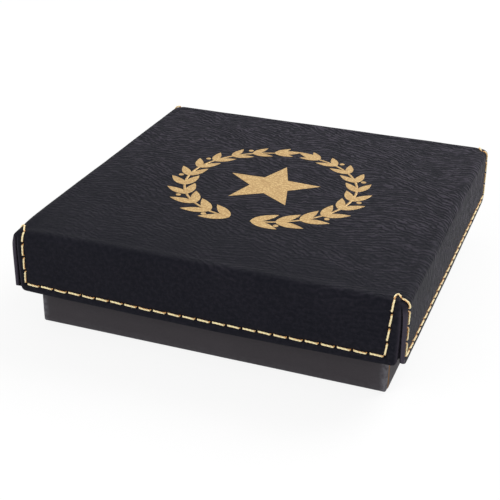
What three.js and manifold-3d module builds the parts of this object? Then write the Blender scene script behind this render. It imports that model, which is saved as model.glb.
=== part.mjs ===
// Square medal box with a lift-off lid. The lid is a board tray under a stitched leatherette
// skin, the base is a paper wrapped board tray, and a velvet covered foam insert holds a round
// medal. Millimetres, +Z up. The origin is the middle of the base's underside, and the front
// faces -Y.

import * as THREE from "three";
import { mergeVertices } from "three/addons/utils/BufferGeometryUtils.js";
import Module from "manifold-3d";

const wasm = await Module();
wasm.setup();

// Outside of the box
const lidWidth = 108;
const lidDrop = 18.5;
const baseHeight = 25.2;

// Layers of the lid wall, from the outside in
const skinThickness = 1.2;
const threadSpace = 0.5;
const lidBoardThickness = 2;
const lidBoardEasing = 0.3;
const glueLine = 0.2;
const liningThickness = 0.4;
const runningClearance = 0.5;
const restClearance = 0.3;

// Leatherette skin: a cross of one top and four flaps, folded over the lid
const foldRadius = 1.8;
const flapCornerRadius = 2.3;
const flapEdgeRadius = 0.45;
const slitWidth = 0.35;
const slitTopMargin = 1.6;
const hemOverhang = 1.4;

// Stitched seam round the edge of the skin
const stitchPitch = 4.08;
const hemMargin = 2.7;
const seamMargin = 3.9;
const turnRound = 0.9;
// How far the hand-set seam is shifted along each side, and how far its turn on the top reaches
// past the next side's seam. Both begin at the front and go round to the right.
const seamShifts = [-0.6, -1.3, 0, -1.8];
const turnLifts = [1.4, 0.7, 0.7, -1];
const threadRadius = 0.38;
const threadLift = 0.12;
const lockRadius = 0.2;
const lockDepth = 0.95;
const diveRun = 0.3;
const diveDepth = 0.15;
const diveRadius = 0.24;
const riseRun = 0.62;
const riseRadius = 0.34;
const needleSlotLength = 1.7;
const needleSlotWidth = 1;
const needleSlotEndShare = 0.6;
const cornerSlotShare = 0.75;
const bobbinRadius = 0.15;

// Lining inside the lid
const liningLip = 0.4;
const topLiningMargin = 1;

// Layers of the base wall, from the outside in
const wrapThickness = 0.4;
const stayClearance = 0.15;
const stayThickness = 0.3;
const baseBoardThickness = 2;
const baseEdgeRadius = 0.7;
const turnInDepth = 14;
const turnUnderWidth = 14;
const stayLeg = 12;
const boardSlit = 0.3;
const bottomSheetThickness = 0.3;
const bottomSheetInset = 1.5;
const bottomSheetClearance = 0.1;

// Velvet covered insert
const insertClearance = 0.3;
const rimStand = 4.5;
const foamThickness = 9;
const velvetThickness = 0.5;
const velvetEdgeRadius = 1.2;
const medalDiameter = 70;
const medalClearance = 0.5;
const notchRadius = 11;
const notchOffset = 30;

// Counts that set how finely curves are divided
const foldSteps = 4;
const edgeSteps = 2;
const cornerSteps = 3;
const turnSteps = 4;
const threadSides = 5;
const bobbinSides = 4;
const recessSteps = 56;
const notchSteps = 28;
const sideCount = 4;

// Cuts run this far past the face they open
const cutOverrun = 1;
// Rings of thread stay at least this far apart
const ringSpacing = 0.2;

// Sizes that follow
const lidHalf = lidWidth / 2;
const skinInnerWidth = lidWidth - 2 * skinThickness;
const lidBoardWidth = skinInnerWidth - 2 * threadSpace;
const lidHollowWidth = lidBoardWidth - 2 * lidBoardThickness;
const liningWidth = lidHollowWidth - 2 * glueLine;
const baseWidth = liningWidth - 2 * liningThickness - 2 * runningClearance;
const lidTopStack = liningThickness + glueLine + lidBoardThickness + threadSpace + skinThickness;
const lidBottom = baseHeight + restClearance + lidTopStack - lidDrop;
const topBoardUnderside = lidDrop - skinThickness - threadSpace - lidBoardThickness;
const foldStart = lidDrop - foldRadius;
const foldLength = foldRadius * Math.PI / 2;
const foldEnd = foldStart + foldLength;
const wrapInnerWidth = baseWidth - 2 * wrapThickness;
const baseBoardWidth = wrapInnerWidth - 2 * stayThickness - 4 * stayClearance;
const baseHollowWidth = baseBoardWidth - 2 * baseBoardThickness;
const baseClearWidth = baseHollowWidth - 2 * glueLine - 2 * wrapThickness;
const wrapBottom = bottomSheetThickness + bottomSheetClearance;
const baseBoardBottom = wrapBottom + wrapThickness + glueLine;
const baseBoardFloor = baseBoardBottom + baseBoardThickness;
const baseBoardTop = baseHeight - wrapThickness - glueLine;
const insertWidth = baseClearWidth - 2 * insertClearance;
const foamWidth = insertWidth - 2 * velvetThickness - 2 * glueLine;
const recessRadius = medalDiameter / 2 + medalClearance;
const insertTop = baseHeight - rimStand;
const insertCover = foamThickness + velvetThickness + 2 * glueLine;
const padThickness = insertTop - insertCover - baseBoardFloor - glueLine;

// Finishes
const finishes = {
  leatherette: { color: 0x2b292f, roughness: 0.72, metalness: 0 },
  goldThread: { color: 0xd9b06a, roughness: 0.5, metalness: 0 },
  bobbinThread: { color: 0x2a2622, roughness: 0.8, metalness: 0 },
  fibreBoard: { color: 0x483e34, roughness: 0.9, metalness: 0 },
  greyBoard: { color: 0x8d8a84, roughness: 0.95, metalness: 0 },
  blackPaper: { color: 0x332f32, roughness: 0.85, metalness: 0 },
  kraftTape: { color: 0xb08a5c, roughness: 0.85, metalness: 0 },
  liningPaper: { color: 0x1c1a1e, roughness: 0.9, metalness: 0 },
  padFoam: { color: 0x24242a, roughness: 0.95, metalness: 0 },
  velvet: { color: 0x101014, roughness: 1, metalness: 0 },
};

const materials = {};
for (const [name, finish] of Object.entries(finishes)) {
  materials[name] = new THREE.MeshStandardMaterial(finish);
}

// Turn a closed geometry into a solid, placed by a matrix
function toSolid(geometry, matrix = new THREE.Matrix4()) {
  const bare = geometry.clone().applyMatrix4(matrix);
  bare.deleteAttribute("normal");
  bare.deleteAttribute("uv");
  const merged = mergeVertices(bare);
  return new wasm.Manifold(new wasm.Mesh({
    numProp: 3,
    vertProperties: new Float32Array(merged.attributes.position.array),
    triVerts: new Uint32Array(merged.index.array),
  }));
}

// Turn a solid back into a geometry
function toGeometry(solid) {
  const mesh = solid.getMesh();
  const geometry = new THREE.BufferGeometry();
  geometry.setAttribute("position", new THREE.BufferAttribute(mesh.vertProperties, 3));
  geometry.setIndex(new THREE.BufferAttribute(mesh.triVerts, 1));
  geometry.computeVertexNormals();
  return geometry;
}

function addMesh(parent, name, geometry, finish) {
  const mesh = new THREE.Mesh(geometry, materials[finish]);
  mesh.name = name;
  parent.add(mesh);
  return mesh;
}

// A rectangle about the origin, with round corners when a radius is given
function rectangle(width, depth, radius = 0) {
  const x = width / 2;
  const y = depth / 2;
  const shape = new THREE.Shape();
  shape.moveTo(radius - x, -y);
  shape.lineTo(x - radius, -y);
  if (radius > 0) shape.absarc(x - radius, radius - y, radius, -Math.PI / 2, 0);
  shape.lineTo(x, y - radius);
  if (radius > 0) shape.absarc(x - radius, y - radius, radius, 0, Math.PI / 2);
  shape.lineTo(radius - x, y);
  if (radius > 0) shape.absarc(radius - x, y - radius, radius, Math.PI / 2, Math.PI);
  shape.lineTo(-x, radius - y);
  if (radius > 0) shape.absarc(radius - x, radius - y, radius, Math.PI, Math.PI * 1.5);
  return shape;
}

// A flat outline raised from one height to another
function raised(shape, bottom, top) {
  const geometry = new THREE.ExtrudeGeometry(shape, {
    depth: top - bottom,
    bevelEnabled: false,
    curveSegments: cornerSteps,
  });
  return geometry.translate(0, 0, bottom);
}

// A square block whose top and bottom edges are rounded
function softBlock(width, bottom, top, radius, steps) {
  const geometry = new THREE.ExtrudeGeometry(rectangle(width, width), {
    depth: top - bottom - 2 * radius,
    bevelEnabled: true,
    bevelThickness: radius,
    bevelSize: radius,
    bevelOffset: -radius,
    bevelSegments: steps,
  });
  return geometry.translate(0, 0, bottom + radius);
}

// An upright round block
function roundBlock(radius, bottom, top, steps, x = 0) {
  const geometry = new THREE.CylinderGeometry(radius, radius, top - bottom, steps);
  geometry.rotateX(Math.PI / 2);
  return geometry.translate(x, 0, (top + bottom) / 2);
}

function turned(side) {
  return new THREE.Matrix4().makeRotationZ(side * Math.PI / 2);
}

// Front and back flaps end behind the side flaps, with a slit between
function isSideFlap(side) {
  return side % 2 === 1;
}

// One flap of the skin: a plate with round lower corners and rounded edges, standing at the
// front of the lid and reaching past its top
function flapPlate(side) {
  const halfLength = isSideFlap(side) ? lidHalf : lidHalf - skinThickness - slitWidth;
  const top = lidDrop + foldRadius;
  const shape = new THREE.Shape();
  shape.moveTo(flapCornerRadius - halfLength, 0);
  shape.lineTo(halfLength - flapCornerRadius, 0);
  const cornerAlong = halfLength - flapCornerRadius;
  shape.absarc(cornerAlong, flapCornerRadius, flapCornerRadius, -Math.PI / 2, 0);
  shape.lineTo(halfLength, top);
  shape.lineTo(-halfLength, top);
  shape.lineTo(-halfLength, flapCornerRadius);
  shape.absarc(-cornerAlong, flapCornerRadius, flapCornerRadius, Math.PI, Math.PI * 1.5);
  const geometry = new THREE.ExtrudeGeometry(shape, {
    depth: skinThickness - 2 * flapEdgeRadius,
    bevelEnabled: true,
    bevelThickness: flapEdgeRadius,
    bevelSize: flapEdgeRadius,
    bevelOffset: -flapEdgeRadius,
    bevelSegments: edgeSteps,
    curveSegments: cornerSteps,
  });
  geometry.rotateX(Math.PI / 2);
  return geometry.translate(0, skinThickness - flapEdgeRadius - lidHalf, 0);
}

// A point on the outside of the lid, given by how far along a flap it lies and how far up
// from the hem, over the fold and on across the top
function onFlap(side, along, up) {
  const position = new THREE.Vector3(along, -lidHalf, up);
  const normal = new THREE.Vector3(0, -1, 0);
  if (up > foldEnd) {
    position.set(along, foldRadius - lidHalf + up - foldEnd, lidDrop);
    normal.set(0, 0, 1);
  } else if (up > foldStart) {
    const angle = (up - foldStart) / foldRadius;
    normal.set(0, -Math.cos(angle), Math.sin(angle));
    position.set(along, foldRadius - lidHalf, foldStart).addScaledVector(normal, foldRadius);
  }
  const turn = turned(side);
  position.applyMatrix4(turn);
  normal.applyMatrix4(turn);
  return { side, along, up, position, normal };
}

// Where a flap's two upright seams stand
function seamAlong(side, direction) {
  return direction * (lidHalf - seamMargin) + seamShifts[side];
}

function foldStations(side, along, rising) {
  const stations = [];
  for (let step = 0; step <= foldSteps; step += 1) {
    const share = rising ? step / foldSteps : 1 - step / foldSteps;
    stations.push(onFlap(side, along, foldStart + foldLength * share));
  }
  return stations;
}

// The seam up one flap, round the corner on top and down the next flap
function cornerRun(side) {
  const next = (side + 1) % sideCount;
  const upAlong = seamAlong(side, 1);
  const downAlong = seamAlong(next, -1);
  const across = foldEnd + lidHalf - upAlong - foldRadius;
  const peak = new THREE.Vector2(downAlong + turnLifts[side], across);
  const rise = new THREE.Vector2(foldRadius - lidHalf, across).sub(peak);
  const fall = new THREE.Vector2(downAlong, foldEnd).sub(peak);
  rise.clampLength(0, turnRound);
  fall.clampLength(0, turnRound);
  const turn = new THREE.QuadraticBezierCurve(rise.add(peak), peak, fall.add(peak));
  const stations = [onFlap(side, upAlong, hemMargin), ...foldStations(side, upAlong, true)];
  for (const point of turn.getPoints(turnSteps)) {
    stations.push(onFlap(next, point.x, point.y));
  }
  stations.push(...foldStations(next, downAlong, false), onFlap(next, downAlong, hemMargin));
  return stations;
}

function rowRun(side) {
  return [onFlap(side, seamAlong(side, -1), hemMargin), onFlap(side, seamAlong(side, 1), hemMargin)];
}

// A run of the seam with the distance of each station from its start
function measuredRun(stations) {
  const distances = [0];
  for (let index = 1; index < stations.length; index += 1) {
    const step = stations[index].position.distanceTo(stations[index - 1].position);
    distances.push(distances[index - 1] + step);
  }
  const length = distances[distances.length - 1];
  return { stations, distances, length, stitches: Math.max(1, Math.round(length / stitchPitch)) };
}

// The surface point at a distance along a run
function pointOnRun(run, distance) {
  let index = 1;
  while (index < run.distances.length - 1 && run.distances[index] < distance) index += 1;
  const from = run.stations[index - 1];
  const to = run.stations[index];
  const stationGap = run.distances[index] - run.distances[index - 1];
  const share = (distance - run.distances[index - 1]) / stationGap;
  if (from.side !== to.side) {
    const position = from.position.clone().lerp(to.position, share);
    return { position, normal: to.normal.clone() };
  }
  const along = THREE.MathUtils.lerp(from.along, to.along, share);
  const up = THREE.MathUtils.lerp(from.up, to.up, share);
  return onFlap(from.side, along, up);
}

const seamRuns = [];
for (let side = 0; side < sideCount; side += 1) {
  seamRuns.push(measuredRun(rowRun(side)), measuredRun(cornerRun(side)));
}

// A closed tube through rings that each have a centre, the surface normal there and a radius
function closedTube(rings, sides) {
  const positions = [];
  const triangles = [];
  const count = rings.length;
  for (let index = 0; index < count; index += 1) {
    const ring = rings[index];
    const ahead = rings[(index + 1) % count].center;
    const behind = rings[(index + count - 1) % count].center;
    const tangent = ahead.clone().sub(behind).normalize();
    const across = new THREE.Vector3().crossVectors(tangent, ring.normal).normalize();
    const outward = new THREE.Vector3().crossVectors(across, tangent);
    for (let corner = 0; corner < sides; corner += 1) {
      const angle = 2 * Math.PI * corner / sides;
      const point = ring.center.clone();
      point.addScaledVector(outward, ring.radius * Math.cos(angle));
      point.addScaledVector(across, ring.radius * Math.sin(angle));
      positions.push(point.x, point.y, point.z);
      const a = index * sides + corner;
      const b = index * sides + (corner + 1) % sides;
      const c = (index + 1) % count * sides + corner;
      const d = (index + 1) % count * sides + (corner + 1) % sides;
      triangles.push(a, b, c, b, d, c);
    }
  }
  const geometry = new THREE.BufferGeometry();
  geometry.setAttribute("position", new THREE.Float32BufferAttribute(positions, 3));
  geometry.setIndex(triangles);
  geometry.computeVertexNormals();
  return geometry;
}

function ringAt(run, distance, height, radius) {
  const { position, normal } = pointOnRun(run, distance);
  return { center: position.addScaledVector(normal, height), normal, radius };
}

// The needle thread: it lies on the skin between the needle slots and dives into each slot
// down to the bobbin thread
function needleThread() {
  const rings = [];
  const lyingHeight = threadRadius + threadLift;
  for (const run of seamRuns) {
    const pitch = run.length / run.stitches;
    for (let stitch = 0; stitch < run.stitches; stitch += 1) {
      const start = stitch * pitch;
      const end = start + pitch;
      rings.push(ringAt(run, start, -lockDepth, lockRadius));
      rings.push(ringAt(run, start + diveRun, -diveDepth, diveRadius));
      rings.push(ringAt(run, start + riseRun, lyingHeight, riseRadius));
      let last = start + riseRun;
      for (const distance of run.distances) {
        if (distance > last + ringSpacing && distance < end - riseRun - ringSpacing) {
          rings.push(ringAt(run, distance, lyingHeight, threadRadius));
          last = distance;
        }
      }
      rings.push(ringAt(run, end - riseRun, lyingHeight, riseRadius));
      rings.push(ringAt(run, end - diveRun, -diveDepth, diveRadius));
    }
  }
  return closedTube(rings, threadSides);
}

// The bobbin thread: it lies behind the skin, under the needle slots
function bobbinThread() {
  const rings = [];
  const depth = skinThickness + threadSpace / 2;
  for (const run of seamRuns) {
    let last = -ringSpacing;
    for (const distance of run.distances.slice(0, -1)) {
      if (distance < last + ringSpacing) continue;
      rings.push(ringAt(run, distance, -depth, bobbinRadius));
      last = distance;
    }
  }
  return closedTube(rings, bobbinSides);
}

// One cutter for each needle slot, long in the direction of the seam. Where two runs meet at a
// corner of the hem, a shorter slot leads off along each of them.
function needleSlots() {
  const endHalf = needleSlotWidth * needleSlotEndShare / 2;
  const shape = new THREE.Shape([
    new THREE.Vector2(-needleSlotLength / 2, -endHalf),
    new THREE.Vector2(0, -needleSlotWidth / 2),
    new THREE.Vector2(needleSlotLength / 2, -endHalf),
    new THREE.Vector2(needleSlotLength / 2, endHalf),
    new THREE.Vector2(0, needleSlotWidth / 2),
    new THREE.Vector2(-needleSlotLength / 2, endHalf),
  ]);
  const cutter = raised(shape, -skinThickness - cutOverrun, cutOverrun);
  const cornerCutter = cutter.clone().scale(cornerSlotShare, 1, 1);
  cornerCutter.translate(needleSlotLength * (1 - cornerSlotShare) / 2, 0, 0);
  const slots = [];
  const cutSlot = (tool, here, from, to) => {
    const along = to.position.clone().sub(from.position);
    along.addScaledVector(here.normal, -along.dot(here.normal)).normalize();
    const across = new THREE.Vector3().crossVectors(here.normal, along);
    const place = new THREE.Matrix4().makeBasis(along, across, here.normal);
    slots.push(toSolid(tool, place.setPosition(here.position)));
  };
  for (const run of seamRuns) {
    const pitch = run.length / run.stitches;
    const first = pointOnRun(run, 0);
    const last = pointOnRun(run, run.length);
    cutSlot(cornerCutter, first, first, pointOnRun(run, riseRun));
    cutSlot(cornerCutter, last, last, pointOnRun(run, run.length - riseRun));
    for (let stitch = 1; stitch < run.stitches; stitch += 1) {
      const middle = stitch * pitch;
      const behind = pointOnRun(run, middle - riseRun);
      const ahead = pointOnRun(run, middle + riseRun);
      cutSlot(cutter, pointOnRun(run, middle), behind, ahead);
    }
  }
  return wasm.Manifold.union(slots);
}

// The skin: a rounded shell, kept only where the top and the four flaps are
function lidSkin() {
  const innerRadius = foldRadius - skinThickness;
  const below = -foldRadius - cutOverrun;
  const outer = toSolid(softBlock(lidWidth, below, lidDrop, foldRadius, foldSteps));
  const innerTop = lidDrop - skinThickness;
  const innerBlock = softBlock(skinInnerWidth, below - cutOverrun, innerTop, innerRadius, foldSteps);
  const inner = toSolid(innerBlock);
  let cross = toSolid(raised(rectangle(lidWidth, lidWidth), lidDrop - slitTopMargin, lidDrop));
  for (let side = 0; side < sideCount; side += 1) {
    cross = cross.add(toSolid(flapPlate(side), turned(side)));
  }
  return toGeometry(outer.subtract(inner).intersect(cross).subtract(needleSlots()));
}

// The lid's top board lies on its four wall boards. Its upper edges are eased for the fold.
function lidTopBoard() {
  const top = topBoardUnderside + lidBoardThickness;
  const bottom = topBoardUnderside - lidBoardThickness;
  const block = toSolid(softBlock(lidBoardWidth, bottom, top, lidBoardEasing, edgeSteps));
  const keep = toSolid(raised(rectangle(lidWidth, lidWidth), topBoardUnderside, lidDrop));
  return toGeometry(block.intersect(keep));
}

const liningBottom = hemOverhang;
const wallBoardBottom = liningBottom + liningThickness + glueLine;

// Front and back wall boards run the full width, the side boards stand between them
function lidWallBoard(side) {
  const length = isSideFlap(side) ? lidHollowWidth - 2 * glueLine : lidBoardWidth;
  const height = topBoardUnderside - wallBoardBottom;
  const geometry = new THREE.BoxGeometry(length, lidBoardThickness, height);
  const outward = (lidBoardWidth - lidBoardThickness) / 2;
  return geometry.translate(0, -outward, wallBoardBottom + height / 2);
}

// The wall lining stands inside the wall boards and turns out under their lower edges
function lidWallLining() {
  const top = topBoardUnderside - liningThickness - 2 * glueLine;
  const lipWidth = liningWidth + 2 * (glueLine + lidBoardThickness - liningLip);
  const band = toSolid(raised(rectangle(liningWidth, liningWidth), liningBottom, top));
  const lipTop = liningBottom + liningThickness;
  const lip = toSolid(raised(rectangle(lipWidth, lipWidth), liningBottom, lipTop));
  const hollowWidth = liningWidth - 2 * liningThickness;
  const hollowShape = rectangle(hollowWidth, hollowWidth);
  const hollow = toSolid(raised(hollowShape, liningBottom - cutOverrun, top + cutOverrun));
  return toGeometry(band.add(lip).subtract(hollow));
}

function lidTopLining() {
  const top = topBoardUnderside - glueLine;
  const width = liningWidth - 2 * topLiningMargin;
  return raised(rectangle(width, width, topLiningMargin), top - liningThickness, top);
}

// The base board: a tray folded from one blank, open along its mitred upright corners
function baseBoardTray() {
  const outer = toSolid(raised(rectangle(baseBoardWidth, baseBoardWidth), baseBoardBottom, baseBoardTop));
  const hollowTop = baseBoardTop + cutOverrun;
  const hollow = toSolid(raised(rectangle(baseHollowWidth, baseHollowWidth), baseBoardFloor, hollowTop));
  const slitLength = baseBoardWidth * Math.SQRT2 + cutOverrun;
  const slit = raised(rectangle(slitLength, boardSlit), baseBoardFloor, hollowTop);
  let tray = outer.subtract(hollow);
  for (const turn of [1, 3]) {
    const diagonal = new THREE.Matrix4().makeRotationZ(turn * Math.PI / sideCount);
    tray = tray.subtract(toSolid(slit, diagonal));
  }
  return toGeometry(tray);
}

// One corner stay: a strip of paper tape folded round an upright corner of the base board
function cornerStay() {
  const inner = baseBoardWidth / 2 + stayClearance;
  const outer = inner + stayThickness;
  const end = inner - stayLeg;
  const shape = new THREE.Shape([
    new THREE.Vector2(end, -outer),
    new THREE.Vector2(outer, -outer),
    new THREE.Vector2(outer, -end),
    new THREE.Vector2(inner, -end),
    new THREE.Vector2(inner, -inner),
    new THREE.Vector2(end, -inner),
  ]);
  return raised(shape, baseBoardFloor, baseBoardTop);
}

// The paper wrap: over the outside, turned in over the rim and turned under the bottom
function baseWrap() {
  const outer = toSolid(raised(rectangle(baseWidth, baseWidth, baseEdgeRadius), wrapBottom, baseHeight));
  const innerRadius = baseEdgeRadius - wrapThickness;
  const cavityBottom = wrapBottom + wrapThickness;
  const cavityTop = baseHeight - wrapThickness;
  const cavityOuter = rectangle(wrapInnerWidth, wrapInnerWidth, innerRadius);
  const cavity = toSolid(raised(cavityOuter, cavityBottom, cavityTop));
  const sleeveWidth = baseClearWidth + 2 * wrapThickness;
  const sleeve = toSolid(raised(rectangle(sleeveWidth, sleeveWidth), baseHeight - turnInDepth, baseHeight));
  const tunnelShape = rectangle(baseClearWidth, baseClearWidth);
  const tunnel = toSolid(raised(tunnelShape, cavityBottom, baseHeight + cutOverrun));
  const windowWidth = baseWidth - 2 * turnUnderWidth;
  const windowShape = rectangle(windowWidth, windowWidth);
  const window = toSolid(raised(windowShape, wrapBottom - cutOverrun, cavityBottom));
  return toGeometry(outer.subtract(cavity).add(sleeve).subtract(tunnel).subtract(window));
}

function baseBottomSheet() {
  const width = baseWidth - 2 * bottomSheetInset;
  return raised(rectangle(width, width, baseEdgeRadius), 0, bottomSheetThickness);
}

// The outline of the recess: a round seat with a finger notch at the left and right, grown by
// a margin
function recessSpace(margin, bottom, top) {
  let space = toSolid(roundBlock(recessRadius + margin, bottom, top, recessSteps));
  for (const x of [-notchOffset, notchOffset]) {
    space = space.add(toSolid(roundBlock(notchRadius + margin, bottom, top, notchSteps, x)));
  }
  return space;
}

const foamBottom = padThickness + glueLine;
const foamTop = foamBottom + foamThickness;
const velvetTop = foamTop + glueLine + velvetThickness;

function insertPad() {
  return raised(rectangle(insertWidth, insertWidth), 0, padThickness);
}

function insertFoam() {
  const block = toSolid(raised(rectangle(foamWidth, foamWidth), foamBottom, foamTop));
  const margin = velvetThickness + glueLine;
  return toGeometry(block.subtract(recessSpace(margin, foamBottom - cutOverrun, foamTop + cutOverrun)));
}

// The velvet: over the top and sides of the foam, down the wall of the recess and across its
// floor
function insertVelvet() {
  const blockBottom = foamBottom - velvetEdgeRadius;
  const block = toSolid(softBlock(insertWidth, blockBottom, velvetTop, velvetEdgeRadius, edgeSteps));
  const keep = toSolid(raised(rectangle(lidWidth, lidWidth), foamBottom, velvetTop));
  const underWidth = insertWidth - 2 * velvetThickness;
  const underShape = rectangle(underWidth, underWidth);
  const under = toSolid(raised(underShape, foamBottom - cutOverrun, foamTop + glueLine));
  const lining = recessSpace(velvetThickness, foamBottom, velvetTop - velvetThickness);
  const seat = recessSpace(0, foamBottom + velvetThickness, velvetTop + cutOverrun);
  return toGeometry(block.intersect(keep).subtract(under).add(lining).subtract(seat));
}

const group = new THREE.Group();

// Base
const base = new THREE.Group();
group.add(base);
addMesh(base, "base_board", baseBoardTray(), "greyBoard");
const stayNames = ["front_right", "back_right", "back_left", "front_left"];
stayNames.forEach((name, side) => {
  const stay = addMesh(base, `corner_stay_${name}`, cornerStay(), "kraftTape");
  stay.rotation.z = side * Math.PI / 2;
});
addMesh(base, "base_wrap", baseWrap(), "blackPaper");
addMesh(base, "base_bottom_sheet", baseBottomSheet(), "blackPaper");

// Insert, standing on the base board
const insert = new THREE.Group();
insert.position.z = baseBoardFloor + glueLine;
base.add(insert);
addMesh(insert, "insert_pad", insertPad(), "padFoam");
addMesh(insert, "insert_foam", insertFoam(), "padFoam");
addMesh(insert, "insert_velvet", insertVelvet(), "velvet");

// Lid, resting on the rim of the base
const lid = new THREE.Group();
lid.position.z = lidBottom;
group.add(lid);
addMesh(lid, "lid_skin", lidSkin(), "leatherette");
addMesh(lid, "needle_thread", needleThread(), "goldThread");
addMesh(lid, "bobbin_thread", bobbinThread(), "bobbinThread");
addMesh(lid, "lid_top_board", lidTopBoard(), "fibreBoard");
const wallNames = ["front", "right", "back", "left"];
wallNames.forEach((name, side) => {
  const board = addMesh(lid, `lid_${name}_board`, lidWallBoard(side), "fibreBoard");
  board.rotation.z = side * Math.PI / 2;
});
addMesh(lid, "lid_wall_lining", lidWallLining(), "liningPaper");
addMesh(lid, "lid_top_lining", lidTopLining(), "liningPaper");

export default group;
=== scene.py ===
"""Square medal box with a lift-off lid, shown closed.

The lid is a board tray under a stitched leatherette skin with a printed gold wreath. The base is a
board tray wrapped in paper, and a velvet covered foam insert with a round recess stands in it.
Everything is in metres, +Z up, with the middle of the base's underside at the origin and the front
of the box facing -Y. The sides of the box are counted from the front, anticlockwise from above:
front, right, back, left.
"""

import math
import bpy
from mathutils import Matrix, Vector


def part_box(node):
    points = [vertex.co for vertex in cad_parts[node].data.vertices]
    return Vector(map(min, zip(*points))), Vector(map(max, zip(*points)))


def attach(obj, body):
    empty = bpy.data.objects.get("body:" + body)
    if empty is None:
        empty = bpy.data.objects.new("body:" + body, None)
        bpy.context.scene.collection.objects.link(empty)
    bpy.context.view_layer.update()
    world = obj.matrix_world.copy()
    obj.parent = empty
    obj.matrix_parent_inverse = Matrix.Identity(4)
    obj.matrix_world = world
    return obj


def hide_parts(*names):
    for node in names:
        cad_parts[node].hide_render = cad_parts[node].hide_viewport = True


bl_info = {
    "name": "Medal Box",
    "version": (1, 0, 0),
    "blender": (4, 5, 0),
    "location": "3D View > Sidebar > Medal Box",
    "description": "Builds the stitched lid, the wrapped base and the velvet insert of a medal box",
    "category": "Add Mesh",
}

import bpy
import numpy as np
from bpy.props import FloatProperty, FloatVectorProperty, IntProperty, PointerProperty
from mathutils import Matrix, Vector, noise
from mathutils.kdtree import KDTree

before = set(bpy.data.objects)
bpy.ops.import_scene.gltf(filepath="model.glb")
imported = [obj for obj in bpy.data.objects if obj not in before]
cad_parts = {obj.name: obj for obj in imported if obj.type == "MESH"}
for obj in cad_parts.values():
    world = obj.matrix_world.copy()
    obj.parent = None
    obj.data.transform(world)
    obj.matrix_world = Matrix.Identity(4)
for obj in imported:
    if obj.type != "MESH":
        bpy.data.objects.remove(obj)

MM = 0.001
SIDES = 4
QUARTER = math.pi / 2
WHITE = (1, 1, 1)

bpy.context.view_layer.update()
SKIN_LOW, SKIN_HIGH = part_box("lid_skin")
WRAP_LOW, WRAP_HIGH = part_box("base_wrap")
PAD_LOW, PAD_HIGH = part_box("insert_pad")
FOAM_LOW, FOAM_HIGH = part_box("insert_foam")
VELVET_LOW, VELVET_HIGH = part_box("insert_velvet")
LID_HALF = SKIN_HIGH.x
LID_DROP = SKIN_HIGH.z - SKIN_LOW.z


def srgb(red, green, blue):
    """A colour given as it looks on a screen, from 0 to 255, as Blender's linear values."""
    shares = [value / 255 for value in (red, green, blue)]
    return tuple(s / 12.92 if s <= 0.04045 else ((s + 0.055) / 1.055) ** 2.4 for s in shares)


def length_property(name, description, millimetres):
    return FloatProperty(
        name=name, description=description, default=millimetres * MM, unit="LENGTH", precision=5
    )


def lengths_property(name, description, millimetres):
    return FloatVectorProperty(
        name=name,
        description=description,
        default=[length * MM for length in millimetres],
        size=len(millimetres),
        unit="LENGTH",
        precision=5,
    )


def share_property(name, description, value):
    return FloatProperty(name=name, description=description, default=value, subtype="FACTOR")


def count_property(name, description, value):
    return IntProperty(name=name, description=description, default=value)


def angle_property(name, description, radians):
    return FloatProperty(name=name, description=description, default=radians, subtype="ANGLE")


def place_property(name, description, metres):
    return FloatVectorProperty(
        name=name, description=description, default=metres, subtype="TRANSLATION"
    )


def colour_property(name, description, colour):
    return FloatVectorProperty(
        name=name, description=description, default=colour, subtype="COLOR", size=3, min=0, max=1
    )


# Settings


class SkinSettings(bpy.types.PropertyGroup):
    thickness: length_property("Thickness", "Thickness of the leatherette", 1.2)
    fold_radius: length_property("Fold radius", "Radius of the fold round the top", 1.8)
    edge_radius: length_property("Edge radius", "Rounding of the cut edges of the flaps", 0.45)
    upright_radius: length_property("Upright radius", "Rounding of the upright corners", 0.45)
    top_corner_radii: lengths_property(
        "Top corner radii",
        "Rounding of each corner on top, from the front right one on",
        (2.3, 2.3, 2.3, 1.0),
    )
    corner_sag: length_property("Corner sag", "How far the front left corner on top has sunk", 0.65)
    sag_reach: length_property("Sag reach", "How far from the corner that can be seen", 7)
    slit_width: length_property("Slit width", "Gap between two flaps, at its top", 0.3)
    slit_flare: length_property("Slit flare", "How much the slit opens towards the hem", 0.45)
    slit_setback: length_property("Slit setback", "Distance of the slit from the corner", 1.3)
    slit_lean: length_property("Slit lean", "How far the slit leans over its height", 0.1)
    slit_depth: length_property("Slit depth", "Depth of the slit", 1.12)
    slit_fade_start: length_property("Slit fade start", "Height above the hem where it fades", 14.6)
    slit_fade_end: length_property("Slit fade end", "Height above the hem where it ends", 17.6)
    flap_corner: length_property("Flap corner", "Rounding of the front flap's corners", 1.5)
    strip_rise: length_property("Strip rise", "Rise of the side flap's edge at its corner", 1.0)
    hem_bow: length_property("Hem bow", "How much higher the hem's ends are than its middle", 0.8)
    hem_bow_power: share_property("Hem bow fade", "How fast the bow fades with height", 3.7)
    fold_ridge: length_property("Fold ridge", "Height of the ridge inside the fold", 0.09)
    waviness: length_property("Waviness", "Height of the soft waves in the leatherette", 0.09)
    wave_size: length_property("Wave size", "Width of those waves", 17)


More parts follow.
